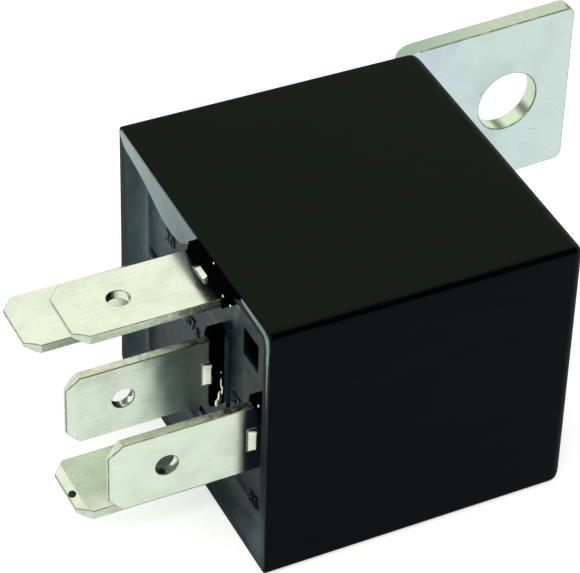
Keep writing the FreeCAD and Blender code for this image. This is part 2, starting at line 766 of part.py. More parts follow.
def make_contact_spring():
    """One bent leaf: its leg is riveted to the yoke and its arm carries the armature and contact."""
    spring = new_piece("contact_spring")
    thick = s.spring_thick
    tip = contact_reach + s.tongue_past_contact
    leg_end = hinge_x - s.spring_leg - s.spring_straight
    leg_top = hinge_x - s.spring_straight
    bow_y = hinge_y + s.spring_bow
    corner = on_arm(-s.spring_bow, armature_top)
    outer_corner = on_arm(-s.spring_bow - thick, spring_top)
    profile = [
        (leg_end, hinge_y), (leg_top, hinge_y), (hinge_x, bow_y), corner,
        on_arm(tip, armature_top), on_arm(tip, spring_top), outer_corner,
        (hinge_x, bow_y + thick), (leg_top, hinge_y + thick), (leg_end, hinge_y + thick),
    ]
    half = s.spring_width / 2
    prism(spring, "leaf", "XY_Plane", profile, middle_z - half, middle_z + half)
    arm_x = hinge_x + s.armature_thick / 2
    arm_high_x = break_face_x + s.contact_head
    tongue_y = on_arm(s.armature_length, 0)[1]
    tip_y = hinge_y - tip - thick
    side = s.tongue_width / 2
    for name, near, far in (("low", middle_z - half, middle_z - side),
                            ("high", middle_z + side, middle_z + half)):
        prism(spring, f"tongue_{name}", "YZ_Plane", rectangle(tip_y, tongue_y, near, far),
              arm_x, arm_high_x, cut=True)
    hole = s.rivet_diameter + 2 * s.rivet_gap
    for name, z in rivet_places():
        rivet_y = on_arm(s.armature_rivet_from_hinge, armature_top)[1]
        rod(spring, f"arm_hole_{name}", "YZ_Plane", (rivet_y, z), hole, arm_x, arm_high_x, cut=True)
        rod(spring, f"leg_hole_{name}", "XZ_Plane", (hinge_x - s.yoke_rivet_from_hinge, z), hole,
            hinge_y, hinge_y + thick, cut=True)
    contact_place = (on_arm(contact_reach, armature_top)[1], middle_z)
    rod(spring, "contact_hole", "YZ_Plane", contact_place, s.contact_shank + 2 * s.rivet_gap,
        arm_x, arm_high_x, cut=True)
    return spring


def turned_contact(name, profile, y, z):
    """A silver contact rivet with bevelled head edges."""
    piece = new_piece(name)
    turned(piece, "turning", profile, y, z)
    widest = value_of(s.contact_diameter)
    low_x = piece.Shape.BoundBox.XMin
    high_x = piece.Shape.BoundBox.XMax
    rounded(piece, "face_edges", s.contact_edge,
            lambda edge: edge.BoundBox.ZLength > widest - 0.001
            and (is_near(edge.BoundBox.XMin, low_x) or is_near(edge.BoundBox.XMax, high_x)),
            "PartDesign::Chamfer")
    return piece


def make_moving_contact():
    head = s.contact_diameter / 2
    shank = s.contact_shank / 2
    profile = [
        (moving_low, 0), (moving_low, head), (armature_top, head), (armature_top, shank),
        (spring_top, shank), (spring_top, head), (moving_high, head), (moving_high, 0),
    ]
    piece = turned_contact("moving_contact", profile, -contact_reach, 0)
    set_on_hinge(piece)
    return piece


def make_fixed_contact(name, low_x):
    head = s.contact_diameter / 2
    high_x = low_x + s.contact_head
    profile = [(low_x, 0), (low_x, head), (high_x, head), (high_x, 0)]
    return turned_contact(name, profile, contact_y, middle_z)


def make_armature_rivets():
    """Two rivets through the armature and the spring's arm."""
    rivets = new_piece("armature_rivets")
    for name, z in rivet_places():
        centre = (-s.armature_rivet_from_hinge, z - middle_z)
        rod(rivets, f"shank_{name}", "YZ_Plane", centre, s.rivet_diameter, armature_face, spring_top)
        rod(rivets, f"head_{name}", "YZ_Plane", centre, s.rivet_head_diameter,
            spring_top, spring_top + s.rivet_head)
    set_on_hinge(rivets)
    return rivets


def make_yoke_rivets():
    """Two rivets through the yoke's leg and the spring's leg."""
    rivets = new_piece("yoke_rivets")
    spring_back_y = yoke_back_y + s.spring_thick
    for name, z in rivet_places():
        centre = (hinge_x - s.yoke_rivet_from_hinge, z)
        rod(rivets, f"shank_{name}", "XZ_Plane", centre, s.rivet_diameter, yoke_inner_y, spring_back_y)
        rod(rivets, f"head_{name}", "XZ_Plane", centre, s.rivet_head_diameter,
            spring_back_y, spring_back_y + s.rivet_head)
    return rivets


def make_bracket():
    """A plated steel L: its foot is staked to the closed end and its leg stands off behind the relay."""
    bracket = new_piece("mounting_bracket")
    foot_front_y = stake_ys[-1] - s.bracket_past_stake
    thick = s.bracket_thick
    along, away = cosine(s.bracket_splay), sine(s.bracket_splay)
    tip_x = bracket_outer_x + bracket_reach * along
    tip_y = bracket_front_y + bracket_reach * away
    root_back_y = bracket_front_y + thick * along - (thick - thick * away) * away / along
    profile = [
        (end_x, foot_front_y),
        (bracket_outer_x, foot_front_y),
        (bracket_outer_x, bracket_front_y),
        (tip_x, tip_y),
        (tip_x - thick * away, tip_y + thick * along),
        (end_x, root_back_y),
    ]
    low_z = middle_z - s.bracket_width / 2
    high_z = middle_z + s.bracket_width / 2
    prism(bracket, "bent_strip", "XY_Plane", profile, low_z, high_z)
    rounded(bracket, "inner_bend", s.bracket_bend,
            lambda edge: runs_along(edge, "z") and is_near(edge.BoundBox.XMin, bracket_outer_x)
            and is_near(edge.BoundBox.YMin, bracket_front_y))
    rounded(bracket, "outer_bend", s.bracket_bend + thick,
            lambda edge: runs_along(edge, "z") and is_near(edge.BoundBox.XMin, end_x)
            and is_near(edge.BoundBox.YMin, root_back_y))
    rounded(bracket, "corner_rounds", s.bracket_corner,
            lambda edge: abs(edge.Length - value_of(thick)) < 0.001)
    hole = new_sketch(bracket, "bolt_hole_sketch", "XZ_Plane", -bracket_front_y, bracket_outer_x,
                      turn=s.bracket_splay)
    add_circle(hole, (bolt_hole_reach, middle_z), s.bracket_hole)
    punched = bracket.newObject("PartDesign::Pocket", "bolt_hole")
    punched.Profile = hole
    punched.setExpression("Length", text_of(thick))
    for number, y in enumerate(stake_ys, start=1):
        rod(bracket, f"stake_hole_{number}", "YZ_Plane", (y, middle_z),
            s.stake_diameter + 2 * s.stake_gap, end_x, bracket_outer_x, cut=True)
    return bracket


pieces = [
    make_cover(),
    make_base(),
    make_sealant(),
    make_common_terminal(),
    make_coil_terminal("85"),
    make_coil_terminal("86"),
    make_open_terminal(),
    make_closed_terminal(),
    make_yoke(),
    make_core(),
    make_bobbin(),
    make_winding(),
    make_tape(),
    make_coil_lead("85", -1),
    make_coil_lead("86", 1),
    make_armature(),
    make_contact_spring(),
    make_moving_contact(),
    make_fixed_contact("open_contact", make_table_x),
    make_fixed_contact("closed_contact", break_face_x),
    make_armature_rivets(),
    make_yoke_rivets(),
    make_bracket(),
]

doc.recompute()
for item in doc.Objects:
    if "Invalid" in item.State or "Error" in item.State:
        raise RuntimeError(f"{item.Label} failed: {item.State}")
for piece in pieces:
    if piece.Shape.isNull() or not piece.Shape.isValid():
        raise RuntimeError(f"{piece.Label} has no valid shape")

os.makedirs("parts", exist_ok=True)
for piece in pieces:
    piece.Shape.exportStep(f"parts/{piece.Label}.step")
    print(f"{piece.Label:18s} solids {len(piece.Shape.Solids)}  volume {piece.Shape.Volume:9.2f} mm3")
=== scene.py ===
import json
import math

import bmesh
import bpy
from bpy.props import FloatProperty, FloatVectorProperty, IntProperty, PointerProperty
from mathutils import Matrix, Vector


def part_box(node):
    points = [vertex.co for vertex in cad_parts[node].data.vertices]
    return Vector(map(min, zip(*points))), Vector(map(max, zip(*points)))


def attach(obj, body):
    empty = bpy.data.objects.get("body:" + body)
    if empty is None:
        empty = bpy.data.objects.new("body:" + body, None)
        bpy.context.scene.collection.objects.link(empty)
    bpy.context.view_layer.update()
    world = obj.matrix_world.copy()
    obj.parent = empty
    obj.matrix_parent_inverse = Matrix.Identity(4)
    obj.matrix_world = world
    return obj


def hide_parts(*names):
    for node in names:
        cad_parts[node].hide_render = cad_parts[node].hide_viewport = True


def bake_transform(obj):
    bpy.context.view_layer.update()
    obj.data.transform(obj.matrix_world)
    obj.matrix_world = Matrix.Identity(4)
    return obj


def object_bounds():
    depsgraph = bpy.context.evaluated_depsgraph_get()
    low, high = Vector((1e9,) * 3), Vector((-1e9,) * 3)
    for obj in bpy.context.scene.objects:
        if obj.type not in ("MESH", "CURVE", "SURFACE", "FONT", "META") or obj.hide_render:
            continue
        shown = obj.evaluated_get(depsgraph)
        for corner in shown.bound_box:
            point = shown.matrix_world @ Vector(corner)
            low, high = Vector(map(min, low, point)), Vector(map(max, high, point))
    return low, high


bl_info = {
    "name": "Immobilizer relay",
    "version": (1, 0, 0),
    "blender": (4, 5, 0),
    "location": "View3D > Sidebar > Relay",
    "description": "Dresses the relay's frame with moulded, plated and wound pieces",
    "category": "Add Mesh",
}

# Everything is in metres. X runs from the tabs to the closed end, Y from front to back, Z up.
MM = 0.001
WELD = 0.00001 * MM
# What keeps two surfaces from lying in one plane.
APART = 0.02 * MM
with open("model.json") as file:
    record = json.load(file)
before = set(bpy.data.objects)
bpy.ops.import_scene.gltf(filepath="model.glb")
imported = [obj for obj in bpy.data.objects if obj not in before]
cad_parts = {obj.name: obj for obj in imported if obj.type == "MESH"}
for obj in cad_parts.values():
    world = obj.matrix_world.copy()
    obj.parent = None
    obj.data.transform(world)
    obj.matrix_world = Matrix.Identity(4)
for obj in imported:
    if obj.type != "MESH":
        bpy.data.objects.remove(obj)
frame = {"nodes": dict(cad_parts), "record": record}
CAD_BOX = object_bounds()

TABS = ("30", "85", "86", "87", "87a")
UPRIGHT_TABS = ("87", "87a")


# Settings

def length(name, description, millimetres):
    return FloatProperty(name=name, description=description, default=millimetres * MM,
                         unit="LENGTH", precision=5)


def colour(name, description, red, green, blue):
    return FloatVectorProperty(name=name, description=description, default=(red, green, blue),
                               subtype="COLOR", size=3, min=0, max=1)


def turn(name, description, degrees):
    return FloatProperty(name=name, description=description, default=math.radians(degrees),
                         subtype="ANGLE")


def share(name, description, value):
    return FloatProperty(name=name, description=description, default=value,
                         subtype="FACTOR", min=0, max=1)


class RelayCoverSettings(bpy.types.PropertyGroup):
    side_wall: length("Side wall", "Thickness of the cover's four side walls", 1.1)
    end_wall: length("End wall", "Thickness of the closed end", 1.2)
    side_round: length("Side round", "Radius of the four long edges", 0.5)
    end_round: length("End round", "Radius of the closed end's edges", 1.0)
    bore_round: length("Bore round", "Radius of the long edges inside", 0.4)
    rim_round: length("Rim round", "Radius of the rim's worn edges", 0.1)
    bow: length("Bow", "How far the top wall sinks at the middle of the rim", 0.3)
    top_draft: length("Top draft", "How far the top wall drops towards the closed end", 0.315)
    side_draft: length("Side draft", "How far front and back draw in towards the closed end", 0.141)
    stake_head: length("Stake head", "Height of the two melted stake heads", 0.8)
    plastic: colour("Plastic", "Colour of the cover's plastic", 0.0030, 0.0056, 0.0024)
    # The front wall's colour is a darker, bluer copy of the plastic: a painted shade.
    front: colour("Front", "Colour of the cover's front wall", 0.0008, 0.0018, 0.0036)
    roughness: share("Roughness", "Roughness of the moulded surface", 0.42)


class RelayBaseSettings(bpy.types.PropertyGroup):
    plastic: colour("Plastic", "Colour of the base's plastic", 0.008, 0.018, 0.026)
    resin: colour("Resin", "Colour of the poured resin", 0.032, 0.056, 0.076)
    # The film's pale colour is partly cloudiness and partly a painted reflection.
    film: colour("Film", "Colour of the thin cloudy resin film", 0.14, 0.22, 0.24)
    # The smear colour lightens cloudy patches that also paint highlights.
    smear: colour("Smear", "Colour of the cloudy smears on base and rim", 0.092, 0.142, 0.168)
    climb: length("Climb", "How far the resin climbs the cover's wall", 1.31)
    ring_width: length("Ring width", "How far the resin reaches in from the wall", 1.7)
    pool_climb: length("Pool climb", "How far a pool climbs its tab", 0.14)
    numeral_height: length("Numeral height", "Height of the moulded tab numbers", 1.7)
    numeral_relief: length("Numeral relief", "How far the tab numbers stand out", 0.12)


class RelayTabSettings(bpy.types.PropertyGroup):
    edge_round: length("Edge round", "Radius of the stamped edges", 0.07)
    stop_round: length("Stop round", "Radius of the pressed stop's edges", 0.16)
    tin: colour("Tin", "Colour of the tin plating", 0.85, 0.92, 0.77)
    brass: colour("Brass", "Colour of the brass at the cut edges", 0.50, 0.47, 0.25)


class RelayBracketSettings(bpy.types.PropertyGroup):
    edge_round: length("Edge round", "Radius of the stamped edges", 0.1)
    zinc: colour("Zinc", "Colour of the zinc plating", 0.71, 0.81, 0.78)
    cut: colour("Cut", "Colour of the plated cut edges", 0.53, 0.61, 0.49)


class RelayCoilSettings(bpy.types.PropertyGroup):
    wire_pitch: length("Wire pitch", "Distance between neighbouring turns", 0.32)
    spring_cuts: IntProperty(name="Spring cuts", description="Cuts that let the spring bend",
                             default=24, min=1)
    enamel: colour("Enamel", "Colour of the enamelled wire", 0.55, 0.19, 0.07)


class RelayStageSettings(bpy.types.PropertyGroup):
    azimuth: turn("Azimuth", "Camera direction round the relay", -26.831)
    elevation: turn("Elevation", "Camera height above the horizon", 39.827)
    roll: turn("Roll", "Camera turn about its own axis", 1.920)
    distance: length("Distance", "From the aim point to the camera", 247.267)
    aim: FloatVectorProperty(name="Aim", description="Point that the camera looks at",
                             default=(-3.834 * MM, 1.708 * MM, 13.802 * MM), subtype="XYZ",
                             unit="LENGTH", precision=5)
    focal_length: FloatProperty(name="Focal length", description="Focal length in millimetres",
                                default=197.462)
    floor_side: length("Floor side", "Side of the square floor", 4000)
    key: FloatProperty(name="Key lamp", description="Power of the lamp above, in watts",
                       default=1.0)
    floor_glow: FloatProperty(name="Floor glow", description="Light that whitens the floor",
                              default=0.6)
    floor_mirrored: FloatProperty(name="Floor mirrored", default=0.32,
                                  description="The same light as gloss and metal show it")
    surroundings: FloatProperty(name="Surroundings", description="Strength of the even light",
                                default=0.55)


# Materials

def toned(tint, gain):
    """A colour made brighter or darker, held at 1."""
    return tuple(min(1, channel * gain) for channel in tint)


class Nodes:
    """A node tree under construction: its nodes are added and joined with short calls."""

    def __init__(self, tree):
        self.tree = tree

    def set(self, node, socket, value):
        """Joins an output to the socket, or writes a plain value in it."""
        entry = node.inputs[socket]
        if isinstance(value, bpy.types.NodeSocket):
            self.tree.links.new(value, entry)
        elif entry.type == "RGBA" and len(value) == 3:
            entry.default_value = (*value, 1)
        else:
            entry.default_value = value

    def add(self, kind, settings=None, **sockets):
        """Adds a node, with its settings by name and its sockets with _ for each space."""
        node = self.tree.nodes.new(kind)
        for name, value in (settings or {}).items():
            setattr(node, name, value)
        for socket, value in sockets.items():
            self.set(node, socket.replace("_", " "), value)
        return node

    def remap(self, value, low, high, start=0.0, end=1.0):
        """Value from start to end becomes low to high, held at both."""
        node = self.add("ShaderNodeMapRange", {"clamp": True}, Value=value,
                        From_Min=start, From_Max=end, To_Min=low, To_Max=high)
        return node.outputs["Result"]

    def blend(self, factor, first, second):
        """The first colour where the factor is 0 and the second where it is 1."""
        node = self.add("ShaderNodeMix", {"data_type": "RGBA"})
        for socket, value in ((0, factor), (6, first), (7, second)):
            self.set(node, socket, value)
        return node.outputs[2]

    def combine(self, first, second, operation="ADD"):
        """One number from two."""
        node = self.add("ShaderNodeMath", {"operation": operation})
        self.set(node, 0, first)
        self.set(node, 1, second)
        return node.outputs[0]


class Finish(Nodes):
    """A material that starts as one shade and has others laid over it, in object coordinates."""

    def __init__(self, name, shade, **sockets):
        self.material = bpy.data.materials.new(name)
        self.material.use_nodes = True
        super().__init__(self.material.node_tree)
        self.surface = self.tree.nodes["Principled BSDF"]
        self.place = self.add("ShaderNodeTexCoord").outputs["Object"]
        self.shade = shade
        for socket, value in sockets.items():
            self.set(self.surface, socket.replace("_", " "), value)

    def dress(self, roughness):
        """Gives the surface its colour and roughness and returns the material."""
        self.set(self.surface, "Base Color", self.shade)
        self.set(self.surface, "Roughness", roughness)
        return self.material

    def noise(self, size, detail=3, roughness=0.5):
        """Noise whose features are about size millimetres along X, Y and Z."""
        sides = size if isinstance(size, tuple) else (size,) * 3
        stretched = self.add("ShaderNodeMapping", {"vector_type": "POINT"}, Vector=self.place,
                             Scale=tuple(1 / (side * MM) for side in sides))
        node = self.add("ShaderNodeTexNoise", None, Vector=stretched.outputs["Vector"], Scale=1.0,
                        Detail=detail, Roughness=roughness)
        return node.outputs["Fac"]

    def mark(self, centre, size, degrees=(0, 0, 0), soft=0.4):
        """1 inside an ellipsoid of the given half sizes in millimetres and 0 outside it."""
        inside = self.add("ShaderNodeMapping", {"vector_type": "TEXTURE"}, Vector=self.place,
                          Location=tuple(MM * side for side in centre),
                          Rotation=tuple(math.radians(angle) for angle in degrees),
                          Scale=tuple(MM * side for side in size))
        reach = self.add("ShaderNodeVectorMath", {"operation": "LENGTH"},
                         Vector=inside.outputs["Vector"])
        return self.remap(reach.outputs["Value"], 1, 0, 1 - soft, 1)

    def along(self, axis, start, end):
        """0 to 1 from start to end, in millimetres along one axis."""
        parts = self.add("ShaderNodeSeparateXYZ", None, Vector=self.place)
        return self.remap(parts.outputs[axis], 0, 1, start * MM, end * MM)

    def lay(self, tint, factor):
        """Lays a colour over the shade where the factor is 1."""
        self.shade = self.blend(factor, self.shade, tint)

    def mottle(self, tint, pattern, start, end, strength=1):
        """Lays a colour where a pattern rises from start to end."""
        self.lay(tint, self.remap(pattern, 0, strength, start, end))

    def spot(self, tint, strength, *place, **options):
        """Lays one soft mark."""
        self.lay(tint, self.combine(self.mark(*place, **options), strength, "MULTIPLY"))

    def smear(self, tint, places):
        """Lays soft patches on the plane that the numbers stand on."""
        for y, z, half_y, half_z, degrees, strength in places:
            self.spot(tint, strength, (base_face() / MM, y, z), (SMEAR_DEPTH, half_y, half_z),
                      (degrees, 0, 0), soft=0.9)

    def bump(self, height, depth, strength):
        """Adds a relief of depth millimetres on top of what the surface already has."""
        node = self.add("ShaderNodeBump", None, Height=height, Distance=depth * MM,
                        Strength=strength)
        entry = self.surface.inputs["Normal"]
        if entry.links:
            self.set(node, "Normal", entry.links[0].from_socket)
        self.set(self.surface, "Normal", node.outputs["Normal"])


def cover_plastic(settings):
    """Satin black nylon with a fine grain, faint flow streaks, a few specks and one nick, and a
    painted shade on the front wall.
    """
    finish = Finish("cover_plastic", settings.plastic, Specular_IOR_Level=0.04)
    streaks = finish.noise((9, 1.4, 1.4), detail=4)
    finish.mottle(toned(settings.plastic, 1.5), streaks, 0.45, 0.75)
    # The front wall is painted in a darker, bluer tone: a painted shade.
    finish.lay(settings.front, finish.along("Y", -13.0, -13.4))
    finish.mottle((0.06, 0.075, 0.065), finish.noise(0.35, detail=1), 0.79, 0.84, strength=0.25)
    finish.lay((0.16, 0.19, 0.17), finish.mark((12.8, -3.7, 23.6), (0.35, 0.12, 0.3)))
    finish.bump(finish.noise(0.12, detail=2), 0.012, 0.5)
    rough = settings.roughness
    return finish.dress(finish.remap(streaks, rough - 0.06, rough + 0.1, 0.3, 0.7))


def cover_edge_shade():
    """The long rounded edges, painted nearly black and without gloss or grain: a painted shade
    along them.
    """
    finish = Finish("cover_edge_shade", (0.0006, 0.0014, 0.0016), Specular_IOR_Level=0.0)
    shade_ripple = finish.noise((4, 0.4, 0.4))
    finish.mottle((0.0018, 0.0030, 0.0028), shade_ripple, 0.5, 0.8)
    return finish.dress(finish.remap(shade_ripple, 0.5, 0.65))


def base_plastic(settings):
    """Blue-black plastic of the tab plate, mottled, with cloudy smears that also paint highlights,
    painted shade near the tabs, and painted black in its wells as shade.
    """
    finish = Finish("base_plastic", settings.plastic, Specular_IOR_Level=0.1)
    cloud = finish.noise(1.1, detail=6, roughness=0.7)
    finish.mottle(toned(settings.plastic, 2.0), cloud, 0.4, 0.65)
    # Cloudy patches that also paint highlights, then patches of painted shade.
    finish.smear(settings.smear, PALE_SMEARS_AND_HIGHLIGHTS)
    finish.smear(SHADE_TINT, SHADE_PATCHES)
    # Everything deeper than the plate's face is painted black: painted shade in the wells and
    # slots.
    finish.lay((0.0004, 0.0006, 0.0006), finish.along("X", -11.62, -11.3))
    finish.bump(finish.noise(0.35, detail=4, roughness=0.7), 0.02, 0.5)
    return finish.dress(finish.remap(cloud, 0.2, 0.38, 0.35, 0.65))


def seal_resin(settings):
    """Poured epoxy: dark, glossy and slightly wavy, cloudy in places, with painted highlights and
    painted shade laid on.
    """
    finish = Finish("seal_resin", settings.resin, Specular_IOR_Level=0.28)
    finish.mottle(settings.smear, finish.noise((1.5, 3, 3), detail=4), 0.4, 0.7, strength=0.35)
    # Cloudy patches that also paint highlights, then patches of painted shade.
    finish.smear(settings.smear, PALE_SMEARS_AND_HIGHLIGHTS)
    finish.smear(SHADE_TINT, SHADE_PATCHES)
    finish.bump(finish.noise((1.1, 2.2, 2.2), detail=2), 0.04, 0.6)
    return finish.dress(finish.remap(finish.noise(0.8), 0.12, 0.28, 0.4, 0.7))


def rim_resin(settings):
    """The thin skin of resin on the cover's rim, which shows little gloss."""
    finish = Finish("rim_resin", (0.009, 0.014, 0.016), Specular_IOR_Level=0.03)
    cloud = finish.noise((1.5, 3, 3), detail=4)
    finish.mottle((0.018, 0.028, 0.032), cloud, 0.4, 0.65)
    # Some cloudy patches with painted highlights and some painted shade reach the rim.
    finish.smear(settings.smear, PALE_SMEARS_AND_HIGHLIGHTS[-RIM_SMEARS:])
    finish.smear((0.002, 0.003, 0.003), SHADE_PATCHES[-RIM_SMEARS:])
    return finish.dress(finish.remap(cloud, 0.35, 0.5, 0.35, 0.65))


def resin_film_and_reflection(settings):
    """Thin cloudy film of resin on the rim, pale as a painted reflection: darker near the middle of
    the top wall, palest towards the back corner.
    """
    finish = Finish("resin_film_and_reflection", settings.film, Specular_IOR_Level=0.3, Coat_Weight=0.35,
                    Coat_Roughness=0.15)
    cloud = finish.noise(1.3, detail=4)
    finish.mottle(toned(settings.film, 1.3), cloud, 0.4, 0.62)
    # Darker near the middle of the top wall and palest towards the back: a painted reflection.
    finish.lay(toned(settings.film, 0.4), finish.mark((-13, 1.2, 21.8), (4, 4.6, 3), soft=0.9))
    finish.lay((0.30, 0.40, 0.39), finish.along("Y", 6.5, 11))
    finish.bump(finish.noise(0.8), 0.03, 0.5)
    return finish.dress(finish.remap(cloud, 0.16, 0.34, 0.35, 0.65))


def shaded_root_resin():
    """Lumps of resin at the tabs, black and without gloss: a painted shade at the tab roots."""
    finish = Finish("shaded_root_resin", (0.0012, 0.0018, 0.0012), Specular_IOR_Level=0.0)
    lumps = finish.noise(0.5, detail=4)
    finish.mottle((0.0035, 0.0050, 0.0045), lumps, 0.5, 0.75)
    finish.bump(lumps, 0.05, 0.8)
    return finish.dress(finish.remap(lumps, 0.45, 0.7))


def tinned_face(settings):
    """Bright tin over brass: rolling lines, pits, smudges and scuffs, with a painted dark
    reflection at two roots.
    """
    finish = Finish("tinned_face", settings.tin, Metallic=1.0)
    rolling = finish.noise((6, 0.09, 0.09))
    cloud = finish.noise(2.2, detail=4)
    finish.mottle(toned(settings.tin, 0.9), cloud, 0.42, 0.68)
    scuffs = finish.noise((1.6, 0.1, 0.1), detail=2)
    finish.mottle((0.55, 0.56, 0.46), scuffs, 0.66, 0.74, strength=0.5)
    finish.mottle((0.55, 0.58, 0.48), rolling, 0.5, 0.7, strength=0.2)
    finish.mottle((0.35, 0.36, 0.27), finish.noise(0.16, detail=1), 0.71, 0.77, strength=0.8)
    # Bluish dark patches at the roots of 87 and 86: a painted reflection of the black cover and
    # resin.
    reflection_at_87 = finish.mark((-12.2, -11.2, 12), (1.75, 0.25, 9), soft=0.15)
    reflection_at_86 = finish.mark((-12.0, -2.3, 21.2), (2.5, 9, 0.25), soft=0.5)
    finish.lay((0.16, 0.19, 0.24), finish.combine(reflection_at_87, reflection_at_86, "MAXIMUM"))
    finish.bump(rolling, 0.003, 0.4)
    finish.bump(finish.noise(1.4, detail=2), 0.02, 0.3)
    smooth = finish.remap(cloud, 0.14, 0.22, 0.35, 0.65)
    return finish.dress(finish.combine(smooth, finish.remap(rolling, 0, 0.05)))


def cut_edge(settings):
    """Sheared edge: tin smeared over brass, torn and speckled towards the root."""
    finish = Finish("cut_edge", toned(settings.tin, 0.86), Metallic=1.0)
    finish.mottle(settings.brass, finish.noise((1.6, 0.5, 0.5), detail=4), 0.48, 0.66, strength=0.4)
    torn = finish.remap(finish.noise((0.9, 0.35, 0.35), detail=4), 0, 1, 0.5, 0.6)
    speckled = finish.blend(torn, finish.shade, (0.09, 0.085, 0.045))
    finish.lay(speckled, finish.combine(finish.along("X", -20.5, -14), 0.75, "MULTIPLY"))
    lines = finish.noise((0.3, 0.9, 0.9), detail=2)
    finish.mottle((0.3, 0.29, 0.2), lines, 0.55, 0.8, strength=0.3)
    finish.bump(lines, 0.008, 0.3)
    return finish.dress(finish.remap(lines, 0.2, 0.36, 0.3, 0.7))


def pressed_line(name, tint):
    """The thin dull line where a sheared edge was rolled over."""
    finish = Finish(name, tint, Metallic=1.0)
    worn = finish.noise((1.2, 0.3, 0.3))
    finish.mottle(toned(tint, 2.2), worn, 0.5, 0.66)
    return finish.dress(finish.remap(worn, 0.3, 0.5))


def detent_wall(settings):
    """Wall of a tab's punched hole: bright and dark bands along the punch's path."""
    finish = Finish("tin_wall", settings.tin, Metallic=1.0)
    bands = finish.noise(0.9, detail=2)
    finish.mottle(toned(settings.tin, 0.16), bands, 0.47, 0.56)
    return finish.dress(finish.remap(bands, 0.14, 0.3))


def bolt_wall(hole):
    """Wall of the bracket's bolt hole: pale zinc, with grey bands where the punch tore it."""
    finish = Finish("zinc_wall", (0.66, 0.80, 0.62), Metallic=1.0)
    lines = finish.noise((0.8, 0.2, 0.8), detail=2)
    finish.mottle((0.78, 0.90, 0.66), lines, 0.4, 0.7)
    for away, size in (((2.1, 0, -1.85), (0.75, 3, 0.75)), ((-0.4, 0, -2.8), (0.75, 3, 0.6)),
                       ((1.6, 0, 2.3), (0.5, 3, 0.5))):
        centre = tuple(side / MM + step for side, step in zip(hole, away))
        finish.spot((0.12, 0.15, 0.11), 0.85, centre, size, soft=0.8)
    return finish.dress(finish.remap(lines, 0.2, 0.36))


def zinc_plate(settings):
    """Bright zinc over steel: faintly clouded, bluish near the bend, with a few rubbed marks."""
    red, green, blue = settings.zinc
    finish = Finish("zinc_plate", (red * 0.97, green * 0.95, blue * 1.12), Metallic=1.0)
    cloud = finish.noise(3.5, detail=5)
    finish.lay(settings.zinc, finish.along("X", 15.5, 21))
    finish.mottle((0.2, 0.24, 0.22), cloud, 0.45, 0.7, strength=0.16)
    for centre, size, degrees in (((21.9, 18.2, 13.6), (0.28, 0.6, 0.07), -50),
                                  ((20.6, 18.2, 10.9), (0.16, 0.6, 0.05), -20),
                                  ((27.4, 18.4, 8.2), (0.5, 0.6, 0.04), 15)):
        finish.spot((0.2, 0.23, 0.23), 0.55, centre, size, (0, degrees, 0))
    finish.bump(finish.noise((0.5, 0.12, 0.12)), 0.006, 0.5)
    return finish.dress(finish.remap(cloud, 0.24, 0.34, 0.35, 0.65))


def zinc_cut(settings):
    """Plated cut edges: the zinc is thicker, yellower and duller there."""
    finish = Finish("zinc_cut", settings.cut, Metallic=1.0)
    lines = finish.noise((0.35, 0.9, 0.9))
    finish.mottle(toned(settings.cut, 1.08), lines, 0.4, 0.65)
    red, green, blue = settings.cut
    finish.lay((red * 0.7, green * 0.8, blue * 0.8), finish.along("X", 23, 15))
    burr = finish.mark((30.5, 18.8, 19.6), (0.8, 0.9, 0.7))
    dent = finish.mark((30.6, 18.4, 13.2), (0.5, 0.3, 0.55))
    worn = finish.combine(burr, dent, "MAXIMUM")
    finish.lay((0.05, 0.055, 0.05), finish.combine(worn, 0.85, "MULTIPLY"))
    finish.bump(lines, 0.015, 0.4)
    return finish.dress(finish.remap(lines, 0.28, 0.42))


def plain_metal(name, tint, roughness):
    """Finish of the iron, copper and silver pieces inside, with a little tarnish."""
    finish = Finish(name, tint, Metallic=1.0)
    tarnish = finish.remap(finish.noise(1.5, detail=4), 0, 1, 0.45, 0.75)
    finish.lay(toned(tint, 0.6), tarnish)
    finish.bump(finish.noise((2, 0.1, 0.1), detail=2), 0.004, 0.4)
    return finish.dress(finish.remap(tarnish, roughness, roughness + 0.15))


def plain_plastic(name, tint, roughness):
    """Finish of the bobbin, the coil's tape and the spot on a tab's tip."""
    finish = Finish(name, tint, Specular_IOR_Level=0.5)
    cloud = finish.noise(1.2, detail=4)
    finish.lay(toned(tint, 1.15), cloud)
    return finish.dress(finish.remap(cloud, roughness, roughness + 0.15))


# Shapes

def merged_copy(node):
    """A frame node's mesh with its loose triangles welded and its flat faces joined."""
    shape = bmesh.new()
    shape.from_mesh(frame["nodes"][node].data)
    bmesh.ops.remove_doubles(shape, verts=shape.verts, dist=WELD)
    bmesh.ops.dissolve_limit(shape, angle_limit=math.radians(0.5), verts=shape.verts,
                             edges=shape.edges)
    return shape


def sharp_edges(shape, degrees=35):
    """The edges where two faces meet at more than this many degrees."""
    limit = math.radians(degrees)
    return [edge for edge in shape.edges if edge.is_manifold and edge.calc_face_angle(0) > limit]


def round_edges(shape, edges, radius, segments=2):
    """Rounds the edges and returns the faces that this made."""
    return bmesh.ops.bevel(shape, geom=edges, offset=radius, offset_type="OFFSET",
                           segments=segments, profile=0.5, affect="EDGES", clamp_overlap=True,
                           material=-1)["faces"]


def link_object(name, data):
    """Puts a new object with this data in the scene."""
    item = bpy.data.objects.new(name, data)
    bpy.context.scene.collection.objects.link(item)
    return item


def mesh_object(name, shape, materials):
    """Turns a finished bmesh into an object in the scene."""
    mesh = bpy.data.meshes.new(name)
    shape.to_mesh(mesh)
    shape.free()
    for material in materials:
        mesh.materials.append(material)
    return link_object(name, mesh)


